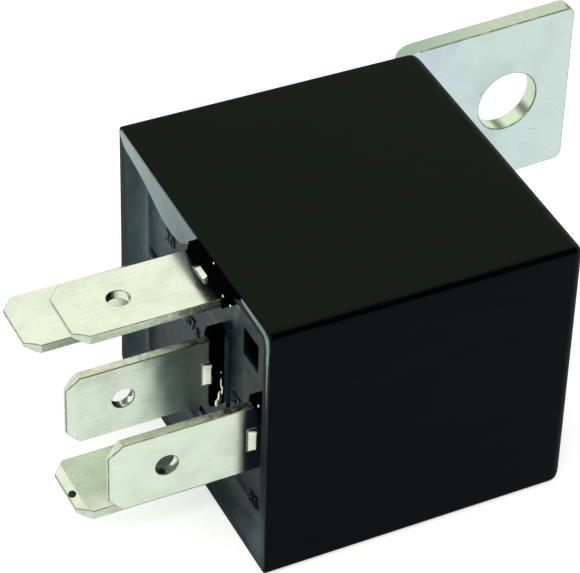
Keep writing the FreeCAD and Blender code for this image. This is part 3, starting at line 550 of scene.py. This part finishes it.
def make_piece(name, shape, materials, stands_for=None, crease=35):
    """Turns a finished bmesh into a shaded piece that rides on the relay's body."""
    for face in shape.faces:
        face.smooth = True
    for edge in sharp_edges(shape, crease):
        edge.smooth = False
    piece = mesh_object(name, shape, materials)
    piece.modifiers.new("even_shading", "WEIGHTED_NORMAL").keep_sharp = True
    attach(piece, "relay")
    if stands_for:
        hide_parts(stands_for)


def paint_nodes(material, *nodes):
    """Gives frame nodes that keep their own shape their finish."""
    for node in nodes:
        mesh = frame["nodes"][node].data
        mesh.materials.clear()
        mesh.materials.append(material)


def rounded_plate(x, low, high, corner):
    """A bmesh that holds one flat face with rounded corners, square to X, that looks along -X."""
    shape = bmesh.new()
    corners = [(low.y, low.z), (low.y, high.z), (high.y, high.z), (high.y, low.z)]
    shape.faces.new([shape.verts.new((x, y, z)) for y, z in corners])
    bmesh.ops.bevel(shape, geom=shape.verts[:], offset=corner, offset_type="OFFSET",
                    segments=4, profile=0.5, affect="VERTICES", material=-1)
    shape.faces.ensure_lookup_table()
    return shape


def raise_face(shape, face, x):
    """Extrudes a face along X to the plane at x and returns the moved face."""
    made = bmesh.ops.extrude_discrete_faces(shape, faces=[face])["faces"][0]
    for vert in made.verts:
        vert.co.x = x
    return made


def grow(shape, face, centre, outlines):
    """Extrudes a rounded rectangle along X through a list of outlines.

    Each is (x, half width, half height, corner). The first is the one that the face has already.
    """
    for old, new in zip(outlines, outlines[1:]):
        face = raise_face(shape, face, new[0])
        for vert in face.verts:
            for axis in (1, 2):
                away = vert.co[axis] - centre[axis]
                spoke = (abs(away) - old[axis] + old[3]) / old[3]
                reach = new[axis] - new[3] + spoke * new[3]
                vert.co[axis] = centre[axis] + math.copysign(reach, away)
    return face


def close_up(shape):
    """Fills what is still open and turns all faces outwards."""
    bmesh.ops.holes_fill(shape, edges=shape.edges[:], sides=0)
    bmesh.ops.recalc_face_normals(shape, faces=shape.faces[:])


def cut_across(shape, axis, low, high, slices):
    """Cuts a shape square to an axis into even slices."""
    normal = Vector((0, 0, 0))
    normal[axis] = 1
    for step in range(1, slices):
        bmesh.ops.bisect_plane(shape, geom=shape.verts[:] + shape.edges[:] + shape.faces[:],
                               dist=WELD, plane_co=low.lerp(high, step / slices), plane_no=normal)


def quarter(step):
    """Angles from 0 to 90 degrees, a step apart."""
    return [math.radians(angle) for angle in range(0, 91, step)]


class RelayOperator:
    """What all the relay's operators share."""
    bl_options = {"REGISTER", "UNDO"}


# Cover

# Where the two stakes stand along Y, and the radii of their stems and heads, in millimetres.
STAKE_YS = (6.8, -2.2)
STAKE_STEM, STAKE_HEAD = 1.5, 2.3

# The walls sink towards the rim: how many wall thicknesses deep that reaches, how fast it fades
# towards the closed end, and how much of it the front and back take.
SINK_REACH, SINK_FADE, SIDE_SINK = 1.5, 1.6, 0.4


def cover_box():
    """The moulded box without its stakes."""
    low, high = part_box("cover")
    return low, Vector((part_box("mounting_bracket")[0].x, high.y, high.z))


def cut_grid(shape, low, high):
    """Cuts every wall across so that it can sink softly."""
    for axis in range(3):
        cut_across(shape, axis, low, high, 8)


def sink_walls(shape, settings, low, high):
    """Lowers the top wall, draws in the front and back towards the rim, and adds the draft."""
    size, middle = high - low, (low + high) / 2

    def near(distance):
        return min(1, max(0, 2 - distance / settings.side_wall / SINK_REACH))

    for vert in shape.verts:
        place = vert.co
        openness = settings.bow * max(0, (high.x - place.x) / size.x) ** SINK_FADE
        across = math.cos(math.pi * (place.y - middle.y) / size.y)
        upward = math.cos(math.pi * (place.z - middle.z) / size.z)
        inward = SIDE_SINK * openness * upward * (near(place.y - low.y) - near(high.y - place.y))
        lowered = openness * across * near(high.z - place.z)
        closeness = min(1, max(0, (place.x - low.x) / size.x))
        inward -= (place.y - middle.y) / size.y * 2 * settings.side_draft * closeness
        lowered += (place.z - low.z) / size.z * settings.top_draft * closeness
        vert.co = place + Vector((0, inward, -lowered))


class RELAY_OT_cover(RelayOperator, bpy.types.Operator):
    """Moulded box, open at the tab end, with softly sunk walls and rounded edges"""
    bl_idname = "relay.cover"
    bl_label = "Cover"

    def execute(self, context):
        settings = context.scene.relay_cover
        low, high = cover_box()
        centre, half = (low + high) / 2, (high - low) / 2
        wall, rim, end = settings.side_wall, settings.rim_round, settings.end_round

        def outline(x, inward, corner):
            return x, half.y - inward, half.z - inward, corner

        outlines = [outline(high.x - settings.end_wall, wall, settings.bore_round)]
        outlines += [outline(low.x + rim * (1 - math.sin(angle)),
                             wall - rim * (1 - math.cos(angle)), settings.bore_round)
                     for angle in quarter(30)]
        outlines += [outline(low.x + rim * (1 - math.cos(angle)),
                             rim * (1 - math.sin(angle)), settings.side_round)
                     for angle in quarter(30)]
        outlines += [outline(high.x - end * (1 - math.sin(angle)),
                             end * (1 - math.cos(angle)), settings.side_round)
                     for angle in quarter(15)]
        inner = Vector((0, wall, wall))
        shape = rounded_plate(outlines[0][0], low + inner, high - inner, settings.bore_round)
        grow(shape, shape.faces[0], centre, outlines)
        close_up(shape)
        cut_grid(shape, low, high)
        # The long rounded edges take the second finish, which paints the shade along them.
        for face in shape.faces:
            along, sideways, upward = (abs(part) for part in face.normal)
            face.material_index = int(along < 0.2 and min(sideways, upward) > 0.2)
        sink_walls(shape, settings, low, high)
        finish = cover_plastic(settings)
        make_piece("cover_moulding", shape, [finish, cover_edge_shade()], "cover")
        self.add_stakes(settings, high.x, finish)
        return {"FINISHED"}

    def add_stakes(self, settings, foot_x, finish):
        """Two stakes, melted into heads over the bracket's foot."""
        top_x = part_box("cover")[1].x
        middle_z = (CAD_BOX[0].z + CAD_BOX[1].z) / 2
        shape = bmesh.new()
        for y in STAKE_YS:
            self.add_stake(shape, Vector((foot_x, y * MM, middle_z)), top_x - settings.stake_head,
                           top_x)
        make_piece("cover_stakes", shape, [finish])

    def add_stake(self, shape, foot, seat_x, top_x):
        """A round stem with a wider head, whose edge is rounded in three steps."""
        turned = Matrix.Translation(foot) @ Matrix.Rotation(math.radians(-90), 4, "Y")
        ring = bmesh.ops.create_circle(shape, cap_ends=True, radius=STAKE_STEM * MM, segments=48,
                                       matrix=turned)
        face = raise_face(shape, ring["verts"][0].link_faces[0], seat_x)
        profile = [(0, seat_x)]
        profile += [(inward, top_x - down * MM)
                    for inward, down in ((0, 0.45), (0.12, 0.22), (0.4, 0.06), (0.9, 0))]
        for inward, x in profile:
            face = raise_face(shape, face, x)
            for vert in face.verts:
                spoke = Vector((0, vert.co.y - foot.y, vert.co.z - foot.z)).normalized()
                spoke *= (STAKE_HEAD - inward) * MM
                vert.co.y, vert.co.z = foot.y + spoke.y, foot.z + spoke.z
        close_up(shape)


# Base and resin

# Middle of each tab's number on the base as (y, z) in millimetres.
NUMBER_PLACES = {"30": (6.9, 17.2), "85": (-8.9, 3.2), "86": (-0.5, 18.2), "87": (-5.4, 10.5),
                 "87a": (2.6, 11.9)}

# The resin's skin on the rim: how far behind the rim it lies and how far out from the bore, in
# millimetres.
RIM_SKIN = ((0.02, 0), (0.02, 0.84), (-0.02, 0.8), (-0.035, 0.6), (-0.04, 0.25))

# Resin that ran or was wiped on the tab side, seen from the tabs: its outline as (y, z), the depth
# in x where it starts and ends, and the rounding of its top, all in millimetres. The corners of
# every outline have one rounding. The films are pale with a painted reflection, and the clots are
# black with no gloss to paint the shade at the tab roots.
FLOW_CORNER = 0.12
RESIN_FILMS = {
    "rim": ([(13.3, 23.85), (13.45, 23.3), (12.6, 22.6), (10.6, 22.3), (8.6, 21.9), (6.9, 21.3),
             (5.2, 20.8), (3.4, 20.7), (1.9, 21.0), (0.6, 21.9), (-0.6, 23.2), (-1.0, 23.6),
             (0.9, 23.62), (6, 23.68)], -11.6, -13.1, 0.3),
    "corner": ([(-8.7, 23.74), (-8.9, 23.5), (-12.7, 23.3), (-13.1, 22.6), (-13.2, 20.0),
                (-13.3, 16.5), (-13.4, 20.0), (-13.55, 22.6), (-13.4, 23.5), (-12.6, 23.76)],
               -12.9, -13.07, 0.06),
}
RESIN_SHADE_CLOTS = {
    "86": ([(0.4, 22.4), (0.75, 21.3), (0.95, 20.3), (-5.6, 20.3), (-6.1, 21.5), (-7.2, 22.6),
            (-8.6, 23.5), (-8.7, 23.74), (-4, 23.62), (-1.2, 23.6), (-0.8, 23.4)],
           -11.5, -13.12, 0.1),
    "87a": ([(-3.36, 8.6), (-3.36, 15.6), (-3.0, 16.3), (-2.4, 16.1), (-2.02, 15.3),
             (-2.02, 8.65)], -11.5, -12.9, 0.12),
    "87": ([(-12.75, 15.0), (-12.75, 15.95), (-10.6, 16.0), (-10.2, 15.5), (-10.2, 15.0)],
           -11.5, -13.0, 0.12),
}

# Pale and dark places on base and resin: y, z, the half sizes along them in millimetres, the turn
# in degrees and the strength. The pale ones are cloudy resin that also paints highlights; the dark
# ones are painted shade round the tab roots, the numbers and the rim. The last ones of each list
# lie on the rim too.
PALE_SMEARS_AND_HIGHLIGHTS = (
    (-1.0, 15.5, 1.5, 0.45, 0, 0.6), (-5.1, 18.9, 0.55, 1.7, 8, 0.7),
    (4.4, 10.3, 0.25, 1.3, 0, 0.2), (8.5, 18.0, 3.6, 5.0, 0, 0.5),
    (11.3, 13.0, 0.9, 8.5, -2, 0.8), (-6.8, 14.0, 0.5, 2.6, 5, 0.25),
    (-7.4, 20.6, 0.9, 1.5, -20, 0.4), (-8.4, 11.6, 0.4, 1.5, -12, 0.4),
    (-11.6, 2.6, 1.6, 2.6, 0, 0.7), (-12.3, 3.0, 2.6, 4.2, 0, 1.0),
)
SHADE_PATCHES = (
    (10.2, 5.3, 0.16, 0.55, 10, 0.9), (-9.0, 3.3, 1.0, 2.4, 15, 0.7),
    (-4.0, 6.5, 2.0, 1.6, 0, 0.5), (-0.5, 13.8, 1.2, 0.7, 0, 0.7),
    (-3.4, 17.0, 0.7, 1.2, 0, 0.7), (-5.4, 0.9, 5.0, 2.8, 0, 0.95),
    (-13.1, 10.8, 2.0, 5.5, 0, 0.95),
)
RIM_SMEARS = 2
SMEAR_DEPTH = 4
# Colour of the painted shade patches.
SHADE_TINT = (0.001, 0.002, 0.002)


def base_face():
    """The outer face of the tab plate, where the numbers stand."""
    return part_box("base")[0].x


def add_flow(name, outline, foot, top, rounding, material):
    """A flat, soft-edged flow of resin that stands on the plane at foot and ends at top."""
    shape = bmesh.new()
    face = shape.faces.new([shape.verts.new((foot * MM, y * MM, z * MM)) for y, z in outline])
    face.normal_update()
    if face.normal.x > 0:
        face.normal_flip()
    raise_face(shape, face, top * MM)
    close_up(shape)
    corners = [edge for edge in shape.edges if abs(edge.verts[0].co.x - edge.verts[1].co.x) > WELD]
    round_edges(shape, corners, FLOW_CORNER * MM)
    rim = [edge for edge in shape.edges
           if all(abs(vert.co.x - top * MM) < WELD for vert in edge.verts)]
    round_edges(shape, rim, rounding * MM, segments=4)
    bmesh.ops.recalc_face_normals(shape, faces=shape.faces[:])
    make_piece(name, shape, [material])


class RELAY_OT_base(RelayOperator, bpy.types.Operator):
    """Tab plate with its moulded numbers"""
    bl_idname = "relay.base"
    bl_label = "Base"

    def execute(self, context):
        settings = context.scene.relay_base
        plastic = base_plastic(settings)
        paint_nodes(plastic, "base")
        for tab, (y, z) in NUMBER_PLACES.items():
            self.add_number(tab, Vector((base_face(), y * MM, z * MM)), settings, plastic)
        return {"FINISHED"}

    def add_number(self, words, place, settings, plastic):
        """Raised number that reads from the tab end."""
        curve = bpy.data.curves.new(f"number_{words}", "FONT")
        curve.body = words
        curve.size = settings.numeral_height
        curve.extrude = settings.numeral_relief
        curve.align_x = "CENTER"
        curve.align_y = "CENTER"
        text = bpy.data.objects.new(f"number_{words}_text", curve)
        mesh = bpy.data.meshes.new_from_object(text)
        bpy.data.objects.remove(text)
        facing = Matrix(((0, 0, -1), (-1, 0, 0), (0, 1, 0))).to_4x4()
        mesh.transform(Matrix.Translation(place) @ facing)
        shape = bmesh.new()
        shape.from_mesh(mesh)
        bmesh.ops.remove_doubles(shape, verts=shape.verts, dist=WELD)
        make_piece(f"number_{words}", shape, [plastic])


class RELAY_OT_resin(RelayOperator, bpy.types.Operator):
    """Poured resin: a ring with a curved top along the cover's wall and a pool at each tab"""
    bl_idname = "relay.resin"
    bl_label = "Resin"

    def execute(self, context):
        settings, cover = context.scene.relay_base, context.scene.relay_cover
        resin, surface_x = seal_resin(settings), base_face() - APART
        self.add_ring(settings, cover, resin, surface_x)
        for tab in TABS:
            self.add_pool(tab, settings, resin, surface_x)
        # The films carry a painted reflection, the clots a painted shade at the tab roots.
        for kind, flows, finish in (("film", RESIN_FILMS, resin_film_and_reflection(settings)),
                                    ("shade_clot", RESIN_SHADE_CLOTS, shaded_root_resin())):
            for name, flow in flows.items():
                add_flow(f"resin_{kind}_{name}", *flow, finish)
        return {"FINISHED"}

    def add_ring(self, settings, cover, resin, surface_x):
        """The ring in the groove between base and cover, with its skin on the rim."""
        low, high = cover_box()
        centre, half = (low + high) / 2, (high - low) / 2 - Vector((0, 1, 1)) * cover.side_wall
        groove_x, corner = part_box("sealant")[1].x, cover.bore_round
        outlines = [(groove_x, half.y, half.z, corner)]
        outlines += [(low.x + x * MM, half.y + out * MM, half.z + out * MM, corner)
                     for x, out in RIM_SKIN]
        steps = 10
        for step in range(steps + 1):
            share_in = step / steps
            inward = settings.ring_width * share_in
            outlines.append((surface_x - settings.climb * (1 - share_in) ** 2.2, half.y - inward,
                             half.z - inward, corner * (1 + share_in)))
        outlines.append((groove_x, *outlines[-1][1:]))
        shape = rounded_plate(groove_x, centre - half, centre + half, corner)
        face = grow(shape, shape.faces[0], centre, outlines)
        bmesh.ops.delete(shape, geom=[face], context="FACES_ONLY")
        bmesh.ops.bridge_loops(shape, edges=[edge for edge in shape.edges if edge.is_boundary])
        close_up(shape)
        cut_grid(shape, low, high)
        sink_walls(shape, cover, low, high)
        for face in shape.faces:
            face.normal_update()
            away = face.calc_center_median() - centre
            on_rim = abs(away.y) > half.y or abs(away.z) > half.z - 0.2 * MM
            face.material_index = int(on_rim and abs(face.normal.x) > 0.8)
        make_piece("resin_ring", shape, [resin, rim_resin(settings)], "sealant")

    def add_pool(self, tab, settings, resin, surface_x):
        """A puddle that climbs its tab a little."""
        margin, corner, sunk, steps = 0.5 * MM, 0.3 * MM, 0.3 * MM, 6
        low, high = blade_section(tab)
        low, high = low - Vector((0, margin, margin)), high + Vector((0, margin, margin))
        half = (high - low) / 2
        outlines = [(surface_x + sunk, half.y, half.z, corner)]
        for step in range(steps + 1):
            inward = 0.4 * MM * step / steps
            rise = settings.pool_climb * (step / steps) ** 2.5
            outlines.append((surface_x - rise, half.y - inward, half.z - inward, corner))
        shape = rounded_plate(surface_x + sunk, low, high, corner)
        grow(shape, shape.faces[0], (low + high) / 2, outlines)
        close_up(shape)
        make_piece(f"resin_pool_{tab}", shape, [resin])


# Tabs

BLADE_WIDTH, BLADE_THICKNESS = 6.3 * MM, 0.8 * MM
# The end of a blade that has its full section, and where its detent hole's wall is found.
TIP_LENGTH = 3 * MM
DETENT_X, DETENT_REACH = -20 * MM, 1.1 * MM

# Length of each stop's top as a share of its foot, and how much the top falls towards the tip for
# each unit along the tab.
STOP_TAPERS = {"30": 0.75, "85": 0.75, "86": 0.6, "87": 0.82, "87a": 0.85}
STOP_SLOPE = 0.28

# Small bright tin drops that paint the glints on the resin at the tab roots, and the dark spot on a
# tip: centre and half sizes in millimetres.
TIN_GLINT_DROPS = (
    ((-12.05, -3.42, 10.9), (0.1, 0.12, 0.5)), ((-11.95, -3.46, 10.2), (0.12, 0.12, 0.45)),
    ((-12.15, -3.42, 9.5), (0.2, 0.12, 0.6)), ((-12.3, -3.42, 9.0), (0.26, 0.12, 0.42)),
    ((-12.05, -3.44, 12.0), (0.06, 0.06, 0.09)), ((-13.12, -4.1, 23.6), (0.05, 0.1, 0.08)),
    ((-13.12, -5.8, 21.75), (0.08, 0.12, 0.12)), ((-13.0, -6.86, 21.6), (0.08, 0.12, 0.1)),
    ((-13.05, -12.06, 16.0), (0.08, 0.1, 0.12)),
)
TIP_SPOT = (((-24.2, -2.9, 3.42), (0.36, 0.42, 0.22)),)


def blade_section(tab):
    """Lowest and highest corner of a blade's section, round the middle of its tip."""
    tip_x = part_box(f"terminal_{tab}")[0].x + TIP_LENGTH
    vertices = [vert.co for vert in frame["nodes"][f"terminal_{tab}"].data.vertices
                if vert.co.x < tip_x]
    ys, zs = [v.y for v in vertices], [v.z for v in vertices]
    middle = Vector((0, (min(ys) + max(ys)) / 2, (min(zs) + max(zs)) / 2))
    half = Vector((0, BLADE_WIDTH, BLADE_THICKNESS)) / 2
    if tab in UPRIGHT_TABS:
        half.yz = half.zy
    return middle - half, middle + half


def add_drops(name, drops, material):
    """Small lumps on the tabs, each with its centre and half sizes in millimetres."""
    shape = bmesh.new()
    for centre, radii in drops:
        place = Matrix.Translation(Vector(centre) * MM) @ Matrix.Diagonal((*radii, 1))
        bmesh.ops.create_icosphere(shape, subdivisions=3, radius=MM, matrix=place)
    make_piece(name, shape, [material])


class RELAY_OT_tabs(RelayOperator, bpy.types.Operator):
    """Tinned blades with rounded stamped edges and brass at the cuts"""
    bl_idname = "relay.tabs"
    bl_label = "Tabs"

    def execute(self, context):
        settings = context.scene.relay_tabs
        finishes = [tinned_face(settings), cut_edge(settings),
                    pressed_line("tin_line", (0.20, 0.205, 0.15)), detent_wall(settings)]
        for tab in TABS:
            self.add_blade(tab, settings, finishes)
        # Bright tin drops that paint the glints on the resin at the tab roots.
        add_drops("tin_glint_drops", TIN_GLINT_DROPS, finishes[0])
        add_drops("tip_spot_85", TIP_SPOT,
                  plain_plastic("black_spot", (0.002, 0.002, 0.002), 0.6))
        return {"FINISHED"}

    def add_blade(self, tab, settings, finishes):
        """A tab whose axis across the sheet is Y where it stands upright and Z where it lies."""
        axis = 1 if tab in UPRIGHT_TABS else 2
        middle = sum(blade_section(tab), Vector()) / 2
        shape = merged_copy(f"terminal_{tab}")
        for face in shape.faces:
            face.material_index = self.part_of(face, axis, middle)
        self.shape_stop(shape, tab, axis, middle)
        stop = [edge for edge in sharp_edges(shape) if self.on_stop(edge.verts, axis, middle)]
        round_edges(shape, stop, settings.stop_round, segments=3)
        cuts = [edge for edge in sharp_edges(shape) if not self.on_stop(edge.verts, axis, middle)]
        for face in round_edges(shape, cuts, settings.edge_round):
            face.normal_update()
            if abs(face.normal[axis]) > 0.15:
                face.material_index = 2
        make_piece(f"blade_{tab}", shape, finishes, f"terminal_{tab}", crease=8)

    def shape_stop(self, shape, tab, axis, middle):
        """Shortens the stop's top and slopes it towards the tip."""
        tops = [vert for vert in shape.verts if self.on_stop([vert], axis, middle)]
        across = 3 - axis
        top_middle = sum((vert.co for vert in tops), Vector()) / len(tops)
        ridge_x = max(vert.co.x for vert in tops)
        for vert in tops:
            away = vert.co[across] - top_middle[across]
            vert.co[across] = top_middle[across] + away * STOP_TAPERS[tab]
            lowered = STOP_SLOPE * (ridge_x - vert.co.x)
            vert.co[axis] -= math.copysign(lowered, vert.co[axis] - middle[axis])

    def on_stop(self, verts, axis, middle):
        """True where something stands out of the blade's flat faces."""
        flat = BLADE_THICKNESS / 2 + 0.04 * MM
        return all(abs(vert.co[axis] - middle[axis]) > flat and vert.co.x < base_face()
                   for vert in verts)

    def part_of(self, face, axis, middle):
        """0 for flat faces and the stop, 1 for the cut outline, 3 for the detent hole's wall."""
        centre, across = face.calc_center_median(), 3 - axis
        on_top = abs(centre[axis] - middle[axis]) > BLADE_THICKNESS / 2 + 0.01 * MM
        if abs(face.normal[axis]) > 0.5 or on_top:
            return 0
        away = math.hypot(centre.x - DETENT_X, centre[across] - middle[across])
        return 3 if away < DETENT_REACH else 1


# Bracket

# The leg lies beyond this X, and the wall of its bolt hole within this reach of the hole's axis.
LEG_X, BOLT_REACH = 16 * MM, 3.2 * MM


class RELAY_OT_bracket(RelayOperator, bpy.types.Operator):
    """Zinc plated steel bracket, bent and punched"""
    bl_idname = "relay.bracket"
    bl_label = "Bracket"

    def execute(self, context):
        settings = context.scene.relay_bracket
        shape = merged_copy("mounting_bracket")
        hole = next(mount for mount in frame["record"]["mounts"] if mount["name"] == "bracket_hole")
        facing, centre = Vector(hole["axis"]), Vector(hole["pos_m"])
        for face in shape.faces:
            face.material_index = self.part_of(face, centre, facing)
        for face in round_edges(shape, sharp_edges(shape), settings.edge_round, segments=3):
            face.normal_update()
            if abs(face.normal.dot(facing)) > 0.2 and face.calc_center_median().x > LEG_X:
                face.material_index = 2
        finishes = [zinc_plate(settings), zinc_cut(settings),
                    pressed_line("zinc_line", (0.20, 0.235, 0.20)), bolt_wall(centre)]
        make_piece("bracket_plate", shape, finishes, "mounting_bracket")
        return {"FINISHED"}

    def part_of(self, face, hole, facing):
        """0 for the plate's faces, 1 for its cut outline, 3 for the bolt hole's wall."""
        middle = face.calc_center_median()
        upright = abs(face.normal.dot(facing)) < 0.3
        if upright and math.hypot(middle.x - hole.x, middle.z - hole.z) < BOLT_REACH:
            return 3
        low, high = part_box("mounting_bracket")
        at_end = middle.x > high.x - 0.2 * MM or middle.y < low.y + 0.1 * MM
        return 1 if abs(face.normal.z) > 0.1 or at_end else 0


# Magnet and spring

# The winding's inner radius, and the depth of the grooves between its turns for each unit of pitch.
WINDING_BORE, GROOVE_DEPTH = 3.7 * MM, 0.35


class RELAY_OT_inside(RelayOperator, bpy.types.Operator):
    """Finishes of the sealed magnet, the coil's turns and the spring"""
    bl_idname = "relay.inside"
    bl_label = "Inside"

    def execute(self, context):
        settings = context.scene.relay_coil
        copper = plain_metal("enamelled_copper", settings.enamel, 0.25)
        paint_nodes(plain_metal("soft_iron", (0.52, 0.53, 0.52), 0.35), "yoke", "core", "armature")
        paint_nodes(plain_metal("rivet_steel", (0.6, 0.6, 0.6), 0.25), "armature_rivets",
                    "yoke_rivets")
        paint_nodes(plain_metal("contact_silver", (0.86, 0.85, 0.82), 0.2), "moving_contact",
                    "open_contact", "closed_contact")
        paint_nodes(copper, "coil_lead_85", "coil_lead_86")
        paint_nodes(plain_plastic("bobbin_nylon", (0.7, 0.68, 0.6), 0.4), "bobbin")
        paint_nodes(plain_plastic("coil_tape_film", (0.75, 0.6, 0.12), 0.2), "coil_tape")
        self.wind_coil(settings, copper)
        self.bend_spring(settings)
        return {"FINISHED"}

    def wind_coil(self, settings, copper):
        """Turns a wavy outline into the winding, one ridge for each turn of wire."""
        low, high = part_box("coil_winding")
        axis = (low + high) / 2
        outer = (high.y - low.y) / 2
        turns = round((high.x - low.x) / settings.wire_pitch)
        pitch = (high.x - low.x) / turns
        groove, parts = pitch * GROOVE_DEPTH, 4
        points = [(low.x, WINDING_BORE)]
        for number in range(turns * parts):
            ridge = math.sin(math.pi * (number % parts) / parts)
            points.append((low.x + number / parts * pitch, outer - groove * (1 - ridge)))
        points += [(high.x, outer - groove), (high.x, WINDING_BORE)]
        shape = bmesh.new()
        outline = [shape.verts.new((x, axis.y, axis.z + radius)) for x, radius in points]
        edges = [shape.edges.new(pair) for pair in zip(outline, outline[1:] + outline[:1])]
        bmesh.ops.spin(shape, geom=outline + edges, cent=axis, axis=(1, 0, 0),
                       angle=math.tau, steps=64, use_merge=True)
        bmesh.ops.remove_doubles(shape, verts=shape.verts, dist=WELD)
        bmesh.ops.recalc_face_normals(shape, faces=shape.faces[:])
        make_piece("coil_turns", shape, [copper], "coil_winding")

    def bend_spring(self, settings):
        """Cuts the leaf spring across into even slices, in place of the frame's spring."""
        shape = merged_copy("contact_spring")
        cut_across(shape, 1, *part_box("contact_spring"), settings.spring_cuts)
        for face in shape.faces:
            face.smooth = True
        bronze = plain_metal("spring_bronze", (0.72, 0.45, 0.28), 0.22)
        leaf = mesh_object("leaf_spring", shape, [bronze])
        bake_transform(leaf)
        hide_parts("contact_spring")


# Stage

class RELAY_OT_stage(RelayOperator, bpy.types.Operator):
    """Pale floor, soft light and the camera"""
    bl_idname = "relay.stage"
    bl_label = "Stage"

    def execute(self, context):
        settings = context.scene.relay_stage
        context.scene.view_settings.view_transform = "Standard"
        self.add_floor(settings)
        self.light_world(settings)
        self.add_lamp(settings)
        self.add_camera(context, settings)
        return {"FINISHED"}

    def add_floor(self, settings):
        """White to the camera, with a weaker, tinted glow where gloss and metal mirror it."""
        finish = Finish("floor_paper", (0.88, 0.88, 0.88), Specular_IOR_Level=0.0)
        ray = finish.add("ShaderNodeLightPath").outputs
        mirrored = finish.combine(ray["Is Glossy Ray"], ray["Is Transmission Ray"], "MAXIMUM")
        seen = finish.combine(ray["Is Camera Ray"], settings.floor_glow, "MULTIPLY")
        shown = finish.combine(mirrored, settings.floor_mirrored, "MULTIPLY")
        tint = finish.blend(ray["Is Camera Ray"], (0.80, 0.95, 1.0), (1, 1, 1))
        finish.set(finish.surface, "Emission Color", tint)
        finish.set(finish.surface, "Emission Strength", finish.combine(seen, shown, "MAXIMUM"))
        shape = bmesh.new()
        bmesh.ops.create_grid(shape, x_segments=1, y_segments=1, size=settings.floor_side / 2)
        floor = mesh_object("floor", shape, [finish.dress(0.9)])
        floor.data.transform(Matrix.Translation((0, 0, CAD_BOX[0].z - APART)))

    def light_world(self, settings):
        """Even light, full strength to the camera and in mirrors."""
        world = bpy.data.worlds.new("soft_room")
        bpy.context.scene.world = world
        world.use_nodes = True
        nodes = Nodes(world.node_tree)
        background = nodes.tree.nodes["Background"]
        ray = nodes.add("ShaderNodeLightPath").outputs
        seen = nodes.combine(ray["Is Camera Ray"], ray["Is Glossy Ray"], "MAXIMUM")
        nodes.set(background, "Strength", nodes.remap(seen, settings.surroundings, 1.0))
        tint = nodes.blend(ray["Is Camera Ray"], (1.0, 1.0, 0.93), (1, 1, 1))
        nodes.set(background, "Color", tint)

    def add_lamp(self, settings):
        """A soft lamp above and in front, on the tabs' side."""
        lamp = bpy.data.lights.new("key_lamp", "AREA")
        lamp.shape = "DISK"
        lamp.size = 0.5
        lamp.energy = settings.key
        holder = link_object("key_lamp", lamp)
        holder.location = (-0.25, -0.15, 0.6)
        holder.rotation_euler = (-holder.location).to_track_quat("-Z", "Y").to_euler()

    def add_camera(self, context, settings):
        """Sets the camera where the photograph was taken from."""
        turned, raised = settings.azimuth, settings.elevation
        back = Vector((math.sin(turned) * math.cos(raised), -math.cos(turned) * math.cos(raised),
                       math.sin(raised)))
        right = (-back).cross(Vector((0, 0, 1))).normalized()
        up = right.cross(-back)
        level = Matrix((right, up, back)).transposed().to_4x4()
        camera = bpy.data.cameras.new("camera")
        camera.lens = settings.focal_length
        camera.clip_start = 0.01
        camera.clip_end = 20
        holder = link_object("camera", camera)
        place = Matrix.Translation(Vector(settings.aim) + back * settings.distance)
        holder.matrix_world = place @ level @ Matrix.Rotation(settings.roll, 4, "Z")
        context.scene.camera = holder


class RELAY_PT_panel(bpy.types.Panel):
    """Lists the relay's operators and settings in the sidebar"""
    bl_label = "Relay"
    bl_space_type = "VIEW_3D"
    bl_region_type = "UI"
    bl_category = "Relay"

    def draw(self, context):
        for operator in OPERATORS:
            self.layout.operator(operator.bl_idname)
        for name in SETTINGS:
            group = getattr(context.scene, name)
            box = self.layout.box()
            box.label(text=name.replace("_", " ").capitalize())
            for key in group.bl_rna.properties.keys():
                if key not in ("rna_type", "name"):
                    box.prop(group, key)


SETTINGS = {
    "relay_cover": RelayCoverSettings,
    "relay_base": RelayBaseSettings,
    "relay_tabs": RelayTabSettings,
    "relay_bracket": RelayBracketSettings,
    "relay_coil": RelayCoilSettings,
    "relay_stage": RelayStageSettings,
}
OPERATORS = (RELAY_OT_cover, RELAY_OT_base, RELAY_OT_resin, RELAY_OT_tabs, RELAY_OT_bracket,
             RELAY_OT_inside, RELAY_OT_stage)


def register():
    for name, group in SETTINGS.items():
        bpy.utils.register_class(group)
        setattr(bpy.types.Scene, name, PointerProperty(type=group))
    for item in (*OPERATORS, RELAY_PT_panel):
        bpy.utils.register_class(item)


def unregister():
    for item in (RELAY_PT_panel, *reversed(OPERATORS)):
        bpy.utils.unregister_class(item)
    for name, group in SETTINGS.items():
        delattr(bpy.types.Scene, name)
        bpy.utils.unregister_class(group)


def main():
    register()
    bpy.ops.relay.cover()
    bpy.ops.relay.base()
    bpy.ops.relay.resin()
    bpy.ops.relay.tabs()
    bpy.ops.relay.bracket()
    bpy.ops.relay.inside()
    bpy.ops.relay.stage()


if __name__ == "__main__":
    main()
